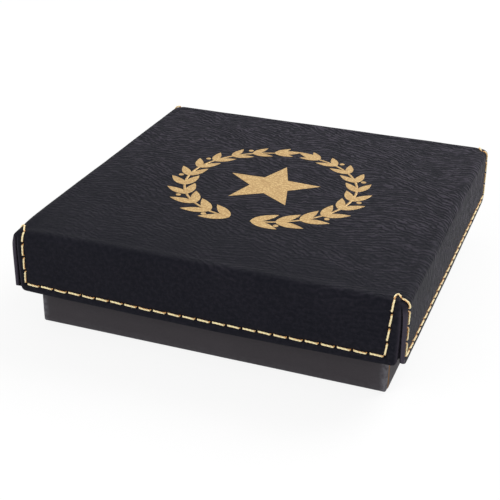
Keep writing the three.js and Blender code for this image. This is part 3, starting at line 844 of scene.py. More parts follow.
class Seam:
    """The path of the seam over the skin, and its needle holes.

    A place on the skin is given by its side, how far along that side's flap it lies and how far up
    from the hem, over the fold and on across the top, as the sheet lies flat.
    """

    samples = 24

    def __init__(self, skin, settings):
        self.skin, self.settings = skin, settings
        self.fold_start = LID_DROP - skin.fold_radius
        self.fold_end = self.fold_start + skin.fold_radius * QUARTER
        self.points, self.normals, self.stitches, self.holes = [], [], [], []
        done = 0
        for side in range(SIDES):
            done += self.walk(self.row_run(side), done)
            done += self.walk(self.corner_run(side), done, lead=5)
        self.points, self.normals = np.array(self.points), np.array(self.normals)
        self.points -= self.normals * corner_sag(self.points, skin)[:, None]
        self.stitches = np.array(self.stitches)

    def on_flap(self, side, along, up):
        """The point and the normal at a place on the skin."""
        radius = self.skin.fold_radius
        if up > self.fold_end:
            beyond = min(radius, max(0, abs(along) + radius - LID_HALF))
            drop = radius - math.sqrt(radius**2 - beyond**2)
            point = np.array([along, radius - LID_HALF + up - self.fold_end, LID_DROP - drop])
            normal = np.array([0.0, 0.0, 1.0])
        elif up > self.fold_start:
            angle = (up - self.fold_start) / radius
            normal = np.array([0.0, -math.cos(angle), math.sin(angle)])
            point = np.array([along, radius - LID_HALF, self.fold_start]) + radius * normal
        else:
            bow = hem_bow(self.skin, along, up, self.fold_start)
            point = np.array([along, -LID_HALF, up + bow])
            normal = np.array([0.0, -1.0, 0.0])
        point[2] += SKIN_LOW.z
        return turned(point, side), turned(normal, side)

    def along_seam(self, side, direction, up=0.0):
        """Where a flap's upright seam stands at a height above the hem."""
        seam = self.settings
        index = 2 * side + (direction > 0)
        share = (up - seam.hem_margin) / (self.fold_start - seam.hem_margin)
        return seam.feet[index] + (seam.heads[index] - seam.feet[index]) * min(1, max(0, share))

    def row_run(self, side):
        """Along the hem, from a flap's left seam to its right one."""
        up = self.settings.hem_margin
        start, end = self.along_seam(side, -1, up), self.along_seam(side, 1, up)
        return [(side, start + (end - start) * share, up) for share in np.linspace(0, 1, 200)]

    def corner_run(self, side):
        """Up one flap, round the corner on top and down the next flap."""
        seam, radius = self.settings, self.skin.fold_radius
        after = (side + 1) % SIDES
        up_along = self.along_seam(side, 1, self.fold_end)
        down_along = self.along_seam(after, -1, self.fold_end)
        across = self.fold_end + LID_HALF - up_along - radius
        peak = np.array([down_along + seam.turn_lifts[side], across])
        past = min(0.9 * radius, max(0, radius - LID_HALF - peak[0]))
        rise = np.linspace(seam.hem_margin, self.fold_end - radius * math.asin(past / radius), 60)
        stations = [(side, self.along_seam(side, 1, up), up) for up in rise]
        ends = [np.array([radius - LID_HALF - past, across]), np.array([down_along, self.fold_end])]
        first, last = (
            peak + (end - peak) * seam.turn_round / max(seam.turn_round, np.linalg.norm(end - peak))
            for end in ends
        )
        for share in np.linspace(0, 1, 12):
            curve = first * (1 - share) ** 2 + 2 * peak * share * (1 - share) + last * share**2
            stations.append((after, *curve))
        for share in np.linspace(0, 1, 14)[1:]:
            stations.append((after, *(last + (ends[1] - last) * share)))
        fall = np.linspace(self.fold_end, seam.hem_margin, 60)[1:]
        stations += [(after, self.along_seam(after, -1, up), up) for up in fall]
        return stations

    def stitch_count(self, length):
        return max(1, math.floor(length / self.settings.pitch + 0.4))

    def walk(self, stations, done, lead=0):
        """Adds one run to the path and returns its number of stitches.

        The first few stitches keep to the pitch, and the others share what is left.
        """
        placed = [self.on_flap(*station) for station in stations]
        points, normals = (np.array(part) for part in zip(*placed))
        steps = np.linalg.norm(np.diff(points, axis=0), axis=1)
        distances = np.concatenate([[0], np.cumsum(steps)])
        pitch, length = self.settings.pitch, distances[-1]
        rest = self.stitch_count(length - lead * pitch)
        knots = [np.arange(lead) * pitch, np.linspace(lead * pitch, length, rest + 1)]
        count = lead + rest
        passed = np.arange(count * self.samples) / self.samples
        at = np.interp(passed, np.arange(count + 1), np.concatenate(knots))
        begun = len(self.points)
        self.holes += range(begun, begun + len(passed), self.samples)
        for values, target in ((points, self.points), (normals, self.normals)):
            target.extend(np.stack([np.interp(at, distances, axis) for axis in values.T], axis=1))
        self.stitches.extend(done + passed)
        return count

    def hole_frames(self):
        """The point, the direction of the seam and the normal at each needle hole."""
        index = np.array(self.holes)
        before, after = (self.points[(index + step) % len(self.points)] for step in (-1, 1))
        ahead = (after - before) / np.linalg.norm(after - before, axis=1)[:, None]
        return self.points[index], ahead, self.normals[index]


def corner_sag(points, skin):
    """How far the skin has sunk at the front left corner of the top."""
    away = np.linalg.norm(points[:, :2] + LID_HALF, axis=1)
    top, depth = SKIN_HIGH.z, 2.4 * skin.fold_radius
    upper = smooth_step(points[:, 2], top - depth, top)
    return skin.corner_sag * bell(away, skin.sag_reach) * upper


def hem_bow(skin, along, up, fold_start):
    """How much the hem is lifted at its ends and let down in the middle, fading upwards."""
    fade, middle_drop = max(0.0, 1 - up / fold_start) ** skin.hem_bow_power, 0.25
    return skin.hem_bow * ((along / LID_HALF) ** 2 - middle_drop) * fade


# Lid skin


class SkinGrid:
    """Columns round the lid and rows from the hem to the top, fine along the seam.

    Each side's face reaches face_reach to the left and right. The zone between two faces runs
    round the upright corner, and holds both flaps' seams and the slit between the flaps.
    """

    face_reach = 47 * MM
    across_seam = both_ways(0.2, 0.45, 0.8, 1.25)
    across_hole = both_ways(0.24, 0.52, 0.95)
    face_step, zone_step, row_step, seam_row_step = 1.15 * MM, 0.7 * MM, 1.0 * MM, 0.5 * MM
    least_gap, least_row_gap, hole_row_gap = 0.12 * MM, 0.15 * MM, 1.2 * MM
    slit_reach, slit_room, arc_room = 1.3 * MM, 0.1 * MM, 0.15 * MM
    fillet_width, gap_rise, gap_width = 0.35 * MM, 0.4 * MM, 0.3 * MM
    strip_shown, rim_shown = 0.8, 0.5

    def __init__(self, skin, seam):
        self.skin, self.seam = skin, seam
        self.radius = skin.upright_radius
        self.zone = 2 * (LID_HALF - self.radius - self.face_reach) + self.radius * QUARTER
        self.slit_place = LID_HALF - skin.slit_setback - self.face_reach
        self.quarters = [self.quarter(side) for side in range(SIDES)]
        self.depths, self.corner, self.past_slit, self.second_half = (
            np.concatenate([quarter[key] for quarter in self.quarters])
            for key in ("depth", "corner", "past_slit", "second_half")
        )

    def slit_columns(self):
        """Offsets and depths across the slit, from one flap's face to the other's."""
        half, edge, depth = self.skin.slit_width / 2, self.skin.edge_radius, self.skin.slit_depth
        rim = [(-half - edge * (1 - s), edge * (1 - c)) for s, c in quarter_steps(4, first=0)]
        wall, foot = (-0.97 * half, 0.75 * depth), (-0.6 * half, depth)
        near = [*rim, wall, foot]
        return near + [(-offset, depth) for offset, depth in reversed(near)]

    def quarter(self, side):
        """The columns of one side and of the corner after it, a multiple of 8 in number."""
        path, reach, inward = self.seam, self.face_reach, -1 if side % 2 else 1
        low, high = path.along_seam(side, -1), path.along_seam(side, 1)
        stitches = path.stitch_count(high - low)
        holes = [low + (high - low) * index / stitches for index in range(stitches + 1)]
        across, least = self.across_hole, self.least_gap
        face = graded_stops(-reach, reach, holes, across, self.face_step, least)
        seam_here = path.along_seam(side, 1, path.fold_start / 2) - reach
        seam_next = self.zone + (reach + path.along_seam((side + 1) % SIDES, -1))
        seams, across = [seam_here, seam_next], self.across_seam
        plain = graded_stops(0, self.zone, seams, across, self.zone_step, least)
        slit_at = self.slit_place if inward > 0 else self.zone - self.slit_place
        slit = [(slit_at + offset, depth) for offset, depth in self.slit_columns()]
        slit_low, slit_high = slit[0][0], slit[-1][0]
        arc_start = LID_HALF - self.radius - reach
        arc = [arc_start + self.radius * QUARTER * share for share in (0, 0.25, 0.5, 0.75, 1)]
        clear = [
            q
            for q in plain[1:-1]
            if not slit_low - self.slit_room < q < slit_high + self.slit_room
            and not arc[0] - self.arc_room < q < arc[-1] + self.arc_room
        ]
        places = [(q, 0.0) for q in clear + arc if not slit_low <= q <= slit_high]
        places = sorted(places + slit)
        face = self.split_gaps(face, -(len(face) + len(places)) % 8)
        q, depth = np.array([(0.0, 0.0)] * len(face) + places).T
        corner = np.arange(len(q)) >= len(face)
        return {
            "side": side,
            "inward": inward,
            "slit_at": slit_at,
            "along": np.concatenate([face, np.zeros(len(places))]),
            "q": q,
            "depth": depth,
            "corner": corner,
            "past_slit": inward * (q - slit_at),
            "second_half": corner & (q >= self.zone / 2),
        }

    @staticmethod
    def split_gaps(stops, count):
        """Adds stops in the middle of the widest gaps."""
        stops = list(stops)
        for _ in range(count):
            gaps = [high - low for low, high in zip(stops, stops[1:])]
            widest = gaps.index(max(gaps))
            stops.insert(widest + 1, (stops[widest] + stops[widest + 1]) / 2)
        return stops

    def columns(self, half, radii, up=None):
        """Every column's point and outward normal on one level loop, in the plane.

        Where a height above the hem is given, the slit's columns follow its lean and flare.
        """
        skin, scale = self.skin, half / LID_HALF
        points, normals = [], []
        for quarter, radius in zip(self.quarters, radii):
            q, corner = quarter["q"], quarter["corner"]
            if up is not None:
                offset = q - quarter["slit_at"]
                height = np.clip(up / skin.slit_fade_end, 0, 1)
                lean = quarter["inward"] * skin.slit_lean * (height - 0.5)
                flare = np.sign(offset) * skin.slit_flare / 2 * (1 - height) ** 2
                q = q + (lean + flare) * bell(offset, self.slit_reach)
            straight = half - radius - self.face_reach * scale
            walked = np.where(corner, q / self.zone * (2 * straight + radius * QUARTER), 0)
            arc = np.clip((walked - straight) / radius, 0, QUARTER)
            beyond = np.clip(walked - straight - radius * QUARTER, 0, None)
            rounded = self.face_reach * scale + np.minimum(walked, straight) + radius * np.sin(arc)
            along = np.where(corner, rounded, quarter["along"] * scale)
            outward = half - radius * (1 - np.cos(arc)) - beyond
            points.append(turned(np.stack([along, -outward], axis=1), quarter["side"]))
            facing = np.stack([np.sin(arc), -np.cos(arc)], axis=1)
            normals.append(turned(facing, quarter["side"]))
        return np.concatenate(points), np.concatenate(normals)

    def rises(self):
        """How far the hem is lifted at each column by the rounded corners of the flaps."""
        skin, past, corner = self.skin, self.past_slit, self.skin.flap_corner
        into = np.clip(corner + past + skin.slit_width / 2, 0, corner)
        flap = corner - np.sqrt(np.maximum(0, corner**2 - into**2))
        around = past - (LID_HALF - self.face_reach - self.slit_place)
        strip = skin.strip_rise * (1 - smooth_step(around, 0.0, 2.2 * MM))
        strip = strip + (corner - skin.strip_rise) * bell(past, self.fillet_width)
        gap = self.gap_rise * bell(past, self.gap_width)
        return np.where(self.corner, np.where(past < 0, flap, strip) + gap, 0)

    def cut_edges(self):
        """How much of the cut edge of a flap each column shows, beside the slit, where the
        leatherette's colour is painted lighter as a highlight.
        """
        skin, past = self.skin, self.past_slit
        strip = self.strip_shown * smooth_step(past, 0.0, skin.slit_width)
        strip = strip * (1 - smooth_step(past, skin.slit_setback, 2 * skin.slit_setback))
        rim = self.rim_shown * bell(past + skin.slit_width, skin.slit_width)
        return np.where(self.corner, np.maximum(strip, rim), 0)

    def face_rows(self):
        """Heights of the rows above the hem, fine at the seam and at its needle holes."""
        path, margin = self.seam, self.seam.settings.hem_margin
        points = path.hole_frames()[0]
        front = points[np.abs(points[:, 1] + LID_HALF) < 0.5 * MM]
        merged = []
        for z in sorted({round((z - SKIN_LOW.z) / MM, 1) * MM for z in front[:, 2]}):
            if z > margin + 2 * MM and (not merged or z - merged[-1] > self.hole_row_gap):
                merged.append(z)
        start, seam_end = self.skin.edge_radius, margin + 1.7 * MM
        across, step = self.across_seam, self.seam_row_step
        rows = graded_stops(start, seam_end, [margin], across, step, 0.1 * MM)
        across, step, end = self.across_hole, self.row_step, path.fold_start
        return rows + graded_stops(seam_end, end, merged, across, step, self.least_row_gap)[1:]


def skin_rings(skin, grid):
    """The rings of the skin from the middle of its inner side, round the hem, to the middle of
    its top. The rings of the faces and the fold hold their place on the flat sheet."""
    fold_start, fold_radius = grid.seam.fold_start, skin.fold_radius
    thickness, edge = skin.thickness, skin.edge_radius
    top_inner, inner_radius = SKIN_HIGH.z - thickness, fold_radius - thickness
    sheet_fold = LID_HALF - fold_radius
    hem_reach, rounding_start, least_radius = 3.2 * MM, 0.62 * LID_DROP, 0.15 * MM
    rises = grid.rises()
    rings = []

    def add(flat, z, facing, rise, up=None, outer=True, sheet=None):
        points, normals = (
            np.column_stack([plane, np.broadcast_to(upright, len(flat))])
            for plane, upright in ((flat, z), (facing, rise))
        )
        ring = {"points": points, "normals": normals, "up": up, "outer": outer, "sheet": sheet}
        rings.append(ring)

    def corner_radii(up, inset=0.0):
        share = smooth_step(up, rounding_start, LID_DROP)
        top = np.array(skin.top_corner_radii)
        grown = skin.upright_radius + (top - skin.upright_radius) * share
        return np.maximum(grown - inset, least_radius)

    def slit_depths(up):
        return grid.depths * (1 - smooth_step(up, skin.slit_fade_start, skin.slit_fade_end))

    def add_level(half, radii, z, rise, **more):
        """A level ring, with fewer points the nearer it is to the middle."""
        keep = 1 if half > 46 * MM else 2 if half > 34 * MM else 4 if half > 20 * MM else 8
        flat = grid.columns(half, radii)[0][::keep]
        add(flat, z, np.zeros_like(flat), rise, **more)

    def add_upright(up, inset, out=1.0, rise=0.0, **more):
        """A ring of the walls, bowed and raised as the hem is."""
        flat, facing = grid.columns(LID_HALF, corner_radii(up), up)
        on_sides = np.abs(flat[:, 0]) > np.abs(flat[:, 1])
        bow = hem_bow(skin, np.where(on_sides, flat[:, 1], flat[:, 0]), up, fold_start)
        z = SKIN_LOW.z + up + bow + rises * (1 - smooth_step(up, 0, hem_reach))
        add(flat - facing * np.reshape(inset, (-1, 1)), z, facing * out, rise, up, **more)

    for half in (8 * MM, 20 * MM, 34 * MM, 44 * MM, 49.5 * MM):
        add_level(half, [MM] * SIDES, top_inner, -1.0, outer=False)
    for sine, cosine in reversed(quarter_steps(4, first=0)):
        radii = corner_radii(fold_start + fold_radius * sine * 0.6, thickness)
        half = LID_HALF - thickness - inner_radius * (1 - cosine)
        flat, facing = grid.columns(half, radii)
        add(flat, top_inner - inner_radius * (1 - sine), -facing, 0.0, outer=False)
    for up in (13, 9, 5.5, 3, 1.4, 0.75):
        add_upright(up * MM, thickness, -1.0, outer=False)
    for step in range(1, 6):
        angle = math.pi * step / 6
        up = edge * (1 - math.sin(angle)) + 0.05 * MM
        near, cosine = slit_depths(up), math.cos(angle)
        inset = (near + thickness) / 2 + (thickness - near) / 2 * cosine
        add_upright(up, inset, -cosine, -math.sin(angle))
    for up in grid.face_rows():
        sheet = sheet_fold + grid.seam.fold_end - up
        add_upright(up, slit_depths(up), sheet=sheet)
    for sine, cosine in quarter_steps(9):
        up = fold_start + fold_radius * sine
        flat, facing = grid.columns(sheet_fold + fold_radius * cosine, corner_radii(up), up)
        sunk, facing = slit_depths(up), facing * cosine
        sheet = sheet_fold + fold_radius * (QUARTER - math.asin(sine))
        z = SKIN_LOW.z + up - sine * sunk
        add(flat - facing * sunk[:, None], z, facing, sine, up, sheet=sheet)
    half, step, growth, last_half = sheet_fold, 0.4 * MM, 1.11, 9 * MM
    while half > last_half:
        half -= step
        step = min(step * growth, 3.0 * MM)
        add_level(half, skin.top_corner_radii, SKIN_HIGH.z, 1.0, up=LID_DROP)
    return rings


def skin_relief(points, normals, skin, seam):
    """How far each outer point moves out along its normal, and how deep it is in a needle hole."""
    settings, (hole_points, along, facing) = seam.settings, seam.hole_frames()
    path, holes = finder(seam.points), finder(hole_points)
    distance = np.array([path.find(point)[2] for point in points])
    nearest = np.array([holes.find(point)[1] for point in points])
    away = points - hole_points[nearest]
    lengthwise = dot(away, along[nearest])
    upward = dot(away, facing[nearest])
    sideways = np.sqrt(np.maximum(0, dot(away, away) - lengthwise**2 - upward**2))
    hole = bell(lengthwise, settings.hole_length) * bell(sideways, settings.hole_width)
    same_side, dip_share = 1.5 * MM, 0.8
    hole[np.abs(upward) > same_side] = 0
    hole *= sink_share(facing[nearest])
    relief = -settings.channel_depth * bell(distance, settings.channel_width)
    relief += top_waves(points, skin) - corner_sag(points, skin) - settings.hole_depth * hole
    inset = LID_HALF - np.max(np.abs(points[:, :2]), axis=1)
    ridge_place, ridge_width, dip_place, dip_width = 2.5 * MM, 0.8 * MM, 4.8 * MM, 1.5 * MM
    ridge = bell(inset - ridge_place, ridge_width)
    ridge -= dip_share * bell(inset - dip_place, dip_width)
    relief += skin.fold_ridge * ridge * smooth_step(normals[:, 2], 0.6, 0.95)
    return relief, hole


def dot(first, second):
    """The dot product of each pair of vectors."""
    return np.einsum("ij,ij->i", first, second)


def sink_share(normals):
    """How deep a needle hole is over its full depth: less on top, where the seam is pulled flat."""
    pulled_flat = 0.6
    return 1 - pulled_flat * normals[:, 2] ** 2


def top_waves(points, skin):
    """The soft waves of the leatherette."""
    finer, small_share = 3.1, 0.35
    broad = soft_waves(points, skin.wave_size, seed=1.7)
    small = soft_waves(points, skin.wave_size / finer, seed=5.3)
    return skin.waviness * (broad + small_share * small)


def build_lid_skin(scene):
    skin = scene.medal_box_skin
    seam = Seam(skin, scene.medal_box_seam)
    grid = SkinGrid(skin, seam)
    rings = skin_rings(skin, grid)
    points = np.concatenate([ring["points"] for ring in rings])
    normals = np.concatenate([ring["normals"] for ring in rings])
    sizes = [len(ring["points"]) for ring in rings]
    outer = np.repeat([ring["outer"] for ring in rings], sizes)
    relief, hole, cut = np.zeros((3, len(points)))
    relief[outer], hole[outer] = skin_relief(points[outer], normals[outer], skin, seam)
    moved = points + normals * relief[:, None]
    starts = np.cumsum([0] + sizes[:-1])
    mesh = mesh_from_rings("lid_skin_piece", np.split(moved, starts[1:]))
    shares = grid.cut_edges()
    for start, ring in zip(starts, rings):
        if ring["outer"] and len(ring["points"]) == len(shares):
            fade = 1 - smooth_step(ring["up"], skin.slit_fade_start, LID_DROP)
            cut[start:start + len(shares)] = shares * fade
    # The needle holes' mark carries painted shade into the leatherette's colour.
    hole_shade = 1.25
    store(mesh, "needle_hole", np.clip(hole * hole_shade, 0, 1))
    # The cut edges' mark carries a painted highlight into the leatherette's colour.
    store(mesh, "cut_edge", cut)
    lay_sheet_map(mesh, rings, starts, grid, points)
    return mesh


def lay_sheet_map(mesh, rings, starts, grid, points):
    """A map of the leatherette as it lies flat: the top in the middle and a flap on each side.

    The second half of each corner belongs to the next side's flap.
    """
    charts = np.zeros((2, len(mesh.vertices), 2))
    charts[:, :len(points)] = points[:, :2]
    second = np.zeros(len(mesh.vertices), bool)
    count = len(grid.second_half)
    side_of = np.repeat(range(SIDES), [len(quarter["q"]) for quarter in grid.quarters])
    for start, ring in zip(starts, rings):
        if ring["sheet"] is None or len(ring["points"]) != count:
            continue
        second[start:start + count] = grid.second_half
        for side in range(SIDES):
            pick = np.flatnonzero(side_of == side)
            for chart, flap in zip(charts, (side, (side + 1) % SIDES)):
                flat = turned(ring["points"][pick][:, :2], -flap)
                flat[:, 1] = -ring["sheet"]
                chart[start + pick] = turned(flat, flap)
    corner = read_array(mesh.loops, "vertex_index")
    first = corner[read_array(mesh.polygons, "loop_start")]
    in_second = np.repeat(second[first], read_array(mesh.polygons, "loop_total"))
    uv = np.where((in_second & second[corner])[:, None], charts[1][corner], charts[0][corner])
    mesh.uv_layers.new(name="sheet").data.foreach_set("uv", uv.astype(np.float32).ravel())


# Geometry nodes


def run_nodes(name, mesh, build, values, material, **more):
    """Runs a new geometry node tree on a mesh and returns the result as a plain mesh.

    The tree gets an input for each value. The build function adds its parts, which are joined,
    made real and given the material.
    """
    tree = bpy.data.node_groups.new(name, "GeometryNodeTree")
    new_socket = tree.interface.new_socket
    new_socket("Geometry", in_out="INPUT", socket_type="NodeSocketGeometry")
    kinds = {float: "NodeSocketFloat", int: "NodeSocketInt"}
    identifiers = {}
    for label, value in values.items():
        kind = kinds.get(type(value), "NodeSocketObject")
        identifiers[new_socket(label, in_out="INPUT", socket_type=kind).identifier] = value
    new_socket("Result", in_out="OUTPUT", socket_type="NodeSocketGeometry")
    nodes = Nodes(tree)
    parts = build(nodes, nodes.outputs("NodeGroupInput"), **more)
    joined = nodes.add("GeometryNodeJoinGeometry", {0: parts})
    real = nodes.add("GeometryNodeRealizeInstances", {"Geometry": joined})
    painted = nodes.add("GeometryNodeSetMaterial", {"Geometry": real, "Material": material})
    nodes.node("NodeGroupOutput", {0: painted})
    carrier = show(name, mesh)
    modifier = carrier.modifiers.new("nodes", "NODES")
    modifier.node_group = tree
    for identifier, value in identifiers.items():
        modifier[identifier] = value
    return evaluated_mesh(carrier, name)


# Needle thread


def thread_parts(nodes, given, plies):
    """The plies of a thread that follows the seam's path and dives into its holes."""
    curve = nodes.add("GeometryNodeMeshToCurve", {"Mesh": given["Geometry"]})
    path = nodes.add("GeometryNodeResampleCurve", {"Curve": curve, "Count": given["Points"]})
    facing, stitch, sink = (
        nodes.add("GeometryNodeInputNamedAttribute", {"Name": name}, data_type=kind)
        for name, kind in (("facing", "FLOAT_VECTOR"), ("stitch", "FLOAT"), ("sink", "FLOAT"))
    )
    tangent = nodes.add("GeometryNodeInputTangent")
    across = nodes.vector("NORMALIZE", nodes.vector("CROSS_PRODUCT", tangent, facing))
    signed = nodes.math("FRACT", stitch) * 2.0 - 1.0
    edge = nodes.math("ABSOLUTE", signed).remap(given["Dive start"], given["Dive end"])
    dive = (given["Lying height"] + given["Dive depth"]) * sink * edge
    draw = {2: -1.0, 3: 1.0, "ID": nodes.math("FLOOR", stitch), "Seed": given["Seed"]}
    lot = nodes.add("FunctionNodeRandomValue", draw, 1, data_type="FLOAT")
    bow = lot * given["Wobble"] * (1.0 - signed * signed)
    lean = signed * given["Slant"] * (1.0 - edge)
    lift = nodes.scale(facing, given["Lying height"] - dive)
    middle = nodes.vector("ADD", lift, nodes.scale(across, bow + lean))
    turn = stitch * (given["Twist"] * (2 * math.pi))
    pulled_thin = 0.35
    slimming = 1.0 - edge * pulled_thin
    reach = given["Ply spread"] * slimming
    circle = {"Resolution": given["Ply sides"], "Radius": given["Ply radius"]}
    profile = nodes.add("GeometryNodeCurvePrimitiveCircle", circle)
    tubes = []
    for ply in range(plies):
        angle = turn + 2 * math.pi * ply / plies
        outward = nodes.scale(facing, nodes.math("COSINE", angle) * reach)
        sideways = nodes.scale(across, nodes.math("SINE", angle) * reach)
        offset = nodes.vector("ADD", middle, nodes.vector("ADD", outward, sideways))
        moved = nodes.add("GeometryNodeSetPosition", {"Geometry": path, "Offset": offset})
        sized = nodes.add("GeometryNodeSetCurveRadius", {"Curve": moved, "Radius": slimming})
        tube = {"Curve": sized, "Profile Curve": profile, "Fill Caps": True}
        tubes.append(nodes.add("GeometryNodeCurveToMesh", tube))
    return tubes


def build_needle_thread(scene, material):
    settings = scene.medal_box_seam
    seam = Seam(scene.medal_box_skin, settings)
    count = len(seam.points)
    mesh = bpy.data.meshes.new("seam_path")
    mesh.from_pydata(seam.points.tolist(), [(i, i + 1) for i in range(count - 1)], [])
    store(mesh, "facing", seam.normals, "FLOAT_VECTOR")
    store(mesh, "stitch", seam.stitches)
    store(mesh, "sink", sink_share(seam.normals))
    keys = ("ply_radius", "ply_spread", "lying_height", "dive_depth", "dive_start", "dive_end")
    keys += ("slant", "wobble", "twist", "ply_sides", "seed")
    values = {key.capitalize().replace("_", " "): getattr(settings, key) for key in keys}
    values["Points"] = int(seam.stitches[-1] + 1) * settings.stitch_points
    name, plies = "needle_thread_piece", settings.plies
    made = run_nodes(name, mesh, thread_parts, values, material, plies=plies)
    made.shade_smooth()
    store_painted_shade(made, seam)
    return made


def store_painted_shade(mesh, seam):
    """Marks painted shade on the thread: how deep each point lies between the plies, and how far
    down the thread's side it lies.
    """
    settings, path = seam.settings, finder(seam.points)
    points = read_array(mesh.vertices, "co", 3)
    nearest = np.array([path.find(point)[1] for point in points])
    away = points - seam.points[nearest] - seam.normals[nearest] * settings.lying_height
    outer = settings.ply_spread + settings.ply_radius
    depth = 1 - np.linalg.norm(away, axis=1) / outer
    height = dot(away, seam.normals[nearest]) / outer
    between_plies, lower_side_shade, fall = 2.4, 0.6, 1.5
    groove = np.maximum(depth * between_plies, lower_side_shade - fall * height)
    store(mesh, "groove", np.clip(groove, 0, 1))


# Gold print


def leaf_outline(foil):
    """One leaf lying along +X from its foot: a pointed oval."""
    rim, steps, lean, fullness = [], 9, 0.82, 0.9
    for share in (index / steps for index in range(1, steps)):
        width = foil.leaf_width / 2 * math.sin(math.pi * share**lean) ** fullness
        rim.append((foil.leaf_length * share, width))
    below = [(x, -y) for x, y in rim]
    return [(0.0, 0.0), *below, (foil.leaf_length, 0.0), *reversed(rim)]


def round_outline(radii, start=0.0):
    """Points at even angles round the middle, each at its own distance from it."""
    angles = [start + 2 * math.pi * index / len(radii) for index in range(len(radii))]
    return [(radius * math.cos(a), radius * math.sin(a)) for radius, a in zip(radii, angles)]


def plate_mesh(name, outline, thickness):
    """A thin closed plate with an eased upper rim. The outline runs anticlockwise."""
    flat, ease, root = np.array(outline), 0.06 * MM, 0.25 * MM
    inward = flat.mean(axis=0) - flat
    inner = flat + inward * ease / np.maximum(np.linalg.norm(inward, axis=1), ease)[:, None]
    levels = ((flat, -root), (flat, 0.5 * thickness), (inner, thickness))
    rings = [np.column_stack([ring, np.full(len(flat), z)]) for ring, z in levels]
    mesh = mesh_from_rings(name, rings)
    mesh.shade_flat()
    return mesh


def wreath_parts(nodes, given):
    """Leaves and berries along two stems which nearly close a ring."""
    start_gap, tip_size, berry_place = math.radians(7), 0.72, 3.4
    span = (math.pi - start_gap) - given["Opening"]
    along = nodes.add("GeometryNodeSplineParameter", output="Factor")
    shrink = along.remap(0.0, 1.0, 1.0, tip_size, smooth=False)
    axes = nodes.outputs("ShaderNodeSeparateXYZ", {0: nodes.add("GeometryNodeInputTangent")})
    heading = nodes.math("ARCTAN2", axes["Y"], axes["X"])
    outward = nodes.vector("NORMALIZE", nodes.add("GeometryNodeInputPosition"))
    aside = nodes.scale(outward, given["Stem width"] * berry_place)
    odd = nodes.math("MODULO", nodes.add("GeometryNodeInputIndex"), 2.0)
    sunk = nodes.xyz(z=given["Stem sink"] * -1.0)
    parts = []

    def set_along(points, name, **inputs):
        shape = nodes.add("GeometryNodeObjectInfo", {"Object": given[name]}, "Geometry")
        inputs |= {"Points": points, "Instance": shape}
        parts.append(nodes.add("GeometryNodeInstanceOnPoints", inputs))

    for hand in (1, -1):
        arc_inputs = {
            "Resolution": 64,
            "Radius": given["Stem radius"],
            "Start Angle": -QUARTER + hand * start_gap,
            "Sweep Angle": span * float(hand),
        }
        arc = nodes.add("GeometryNodeCurveArc", arc_inputs)
        places = {"Curve": arc, "Count": given["Leaf pairs"]}
        points = nodes.add("GeometryNodeResampleCurve", places)
        for side in (1, -1):
            turn = nodes.xyz(z=heading + given["Leaf angle"] * side)
            set_along(points, "Leaf", Rotation=turn, Scale=nodes.xyz(shrink, shrink, 1.0))
        last = nodes.math("GREATER_THAN", along, 0.99)
        set_along(points, "Leaf", Rotation=nodes.xyz(z=heading), Selection=last)
        moved = nodes.add("GeometryNodeSetPosition", {"Geometry": points, "Offset": aside})
        set_along(moved, "Berry", Selection=nodes.math("GREATER_THAN", odd, 0.5))
        flat = {"Width": given["Stem width"], "Height": given["Stem height"]}
        strip = nodes.add("GeometryNodeCurvePrimitiveQuadrilateral", flat)
        stem = {"Curve": arc, "Profile Curve": strip, "Fill Caps": True}
        tube = nodes.add("GeometryNodeCurveToMesh", stem)
        lowered = nodes.add("GeometryNodeSetPosition", {"Geometry": tube, "Offset": sunk})
        parts.append(lowered)
    return parts


def lay_on_lid(mesh, skin):
    """Moves a flat print onto the lid's top and lets it follow the waves there."""
    flat = read_array(mesh.vertices, "co", 3)
    on_top = np.column_stack([flat[:, :2], np.full(len(flat), SKIN_HIGH.z)])
    flat[:, 2] += SKIN_HIGH.z + top_waves(on_top, skin)
    mesh.vertices.foreach_set("co", flat.ravel())
    mesh.update()


def build_gold_print(scene, material):
    """The wreath, and the star cut fine enough to follow the lid."""
    foil = scene.medal_box_foil
    berry_sides, star_points, fine_cuts = 14, 5, 3
    berry = round_outline([foil.berry_radius] * berry_sides)
    values = {
        "Stem radius": foil.wreath_radius,
        "Leaf angle": foil.leaf_angle,
        "Opening": foil.opening,
        "Stem width": foil.stem_width,
        "Stem height": 0.28 * MM,
        "Stem sink": 0.115 * MM,
        "Leaf pairs": foil.leaf_pairs,
        "Leaf": show("leaf", plate_mesh("leaf", leaf_outline(foil), foil.thickness)),
        "Berry": show("berry", plate_mesh("berry", berry, foil.thickness)),
    }
    empty = bpy.data.meshes.new("wreath_seed")
    wreath = run_nodes("gold_wreath", empty, wreath_parts, values, material)
    for shape in ("Leaf", "Berry"):
        bpy.data.objects.remove(values[shape])
    points = [foil.star_radius, foil.star_radius * foil.star_waist] * star_points
    carrier = show("finer", plate_mesh("star", round_outline(points, QUARTER), foil.thickness))
    cuts = carrier.modifiers.new("simple", "SUBSURF")
    cuts.subdivision_type = "SIMPLE"
    cuts.levels = cuts.render_levels = fine_cuts
    star = evaluated_mesh(carrier, "gold_star")
    for mesh in (wreath, star):
        lay_on_lid(mesh, scene.medal_box_skin)
    return wreath, star


# Base wrap


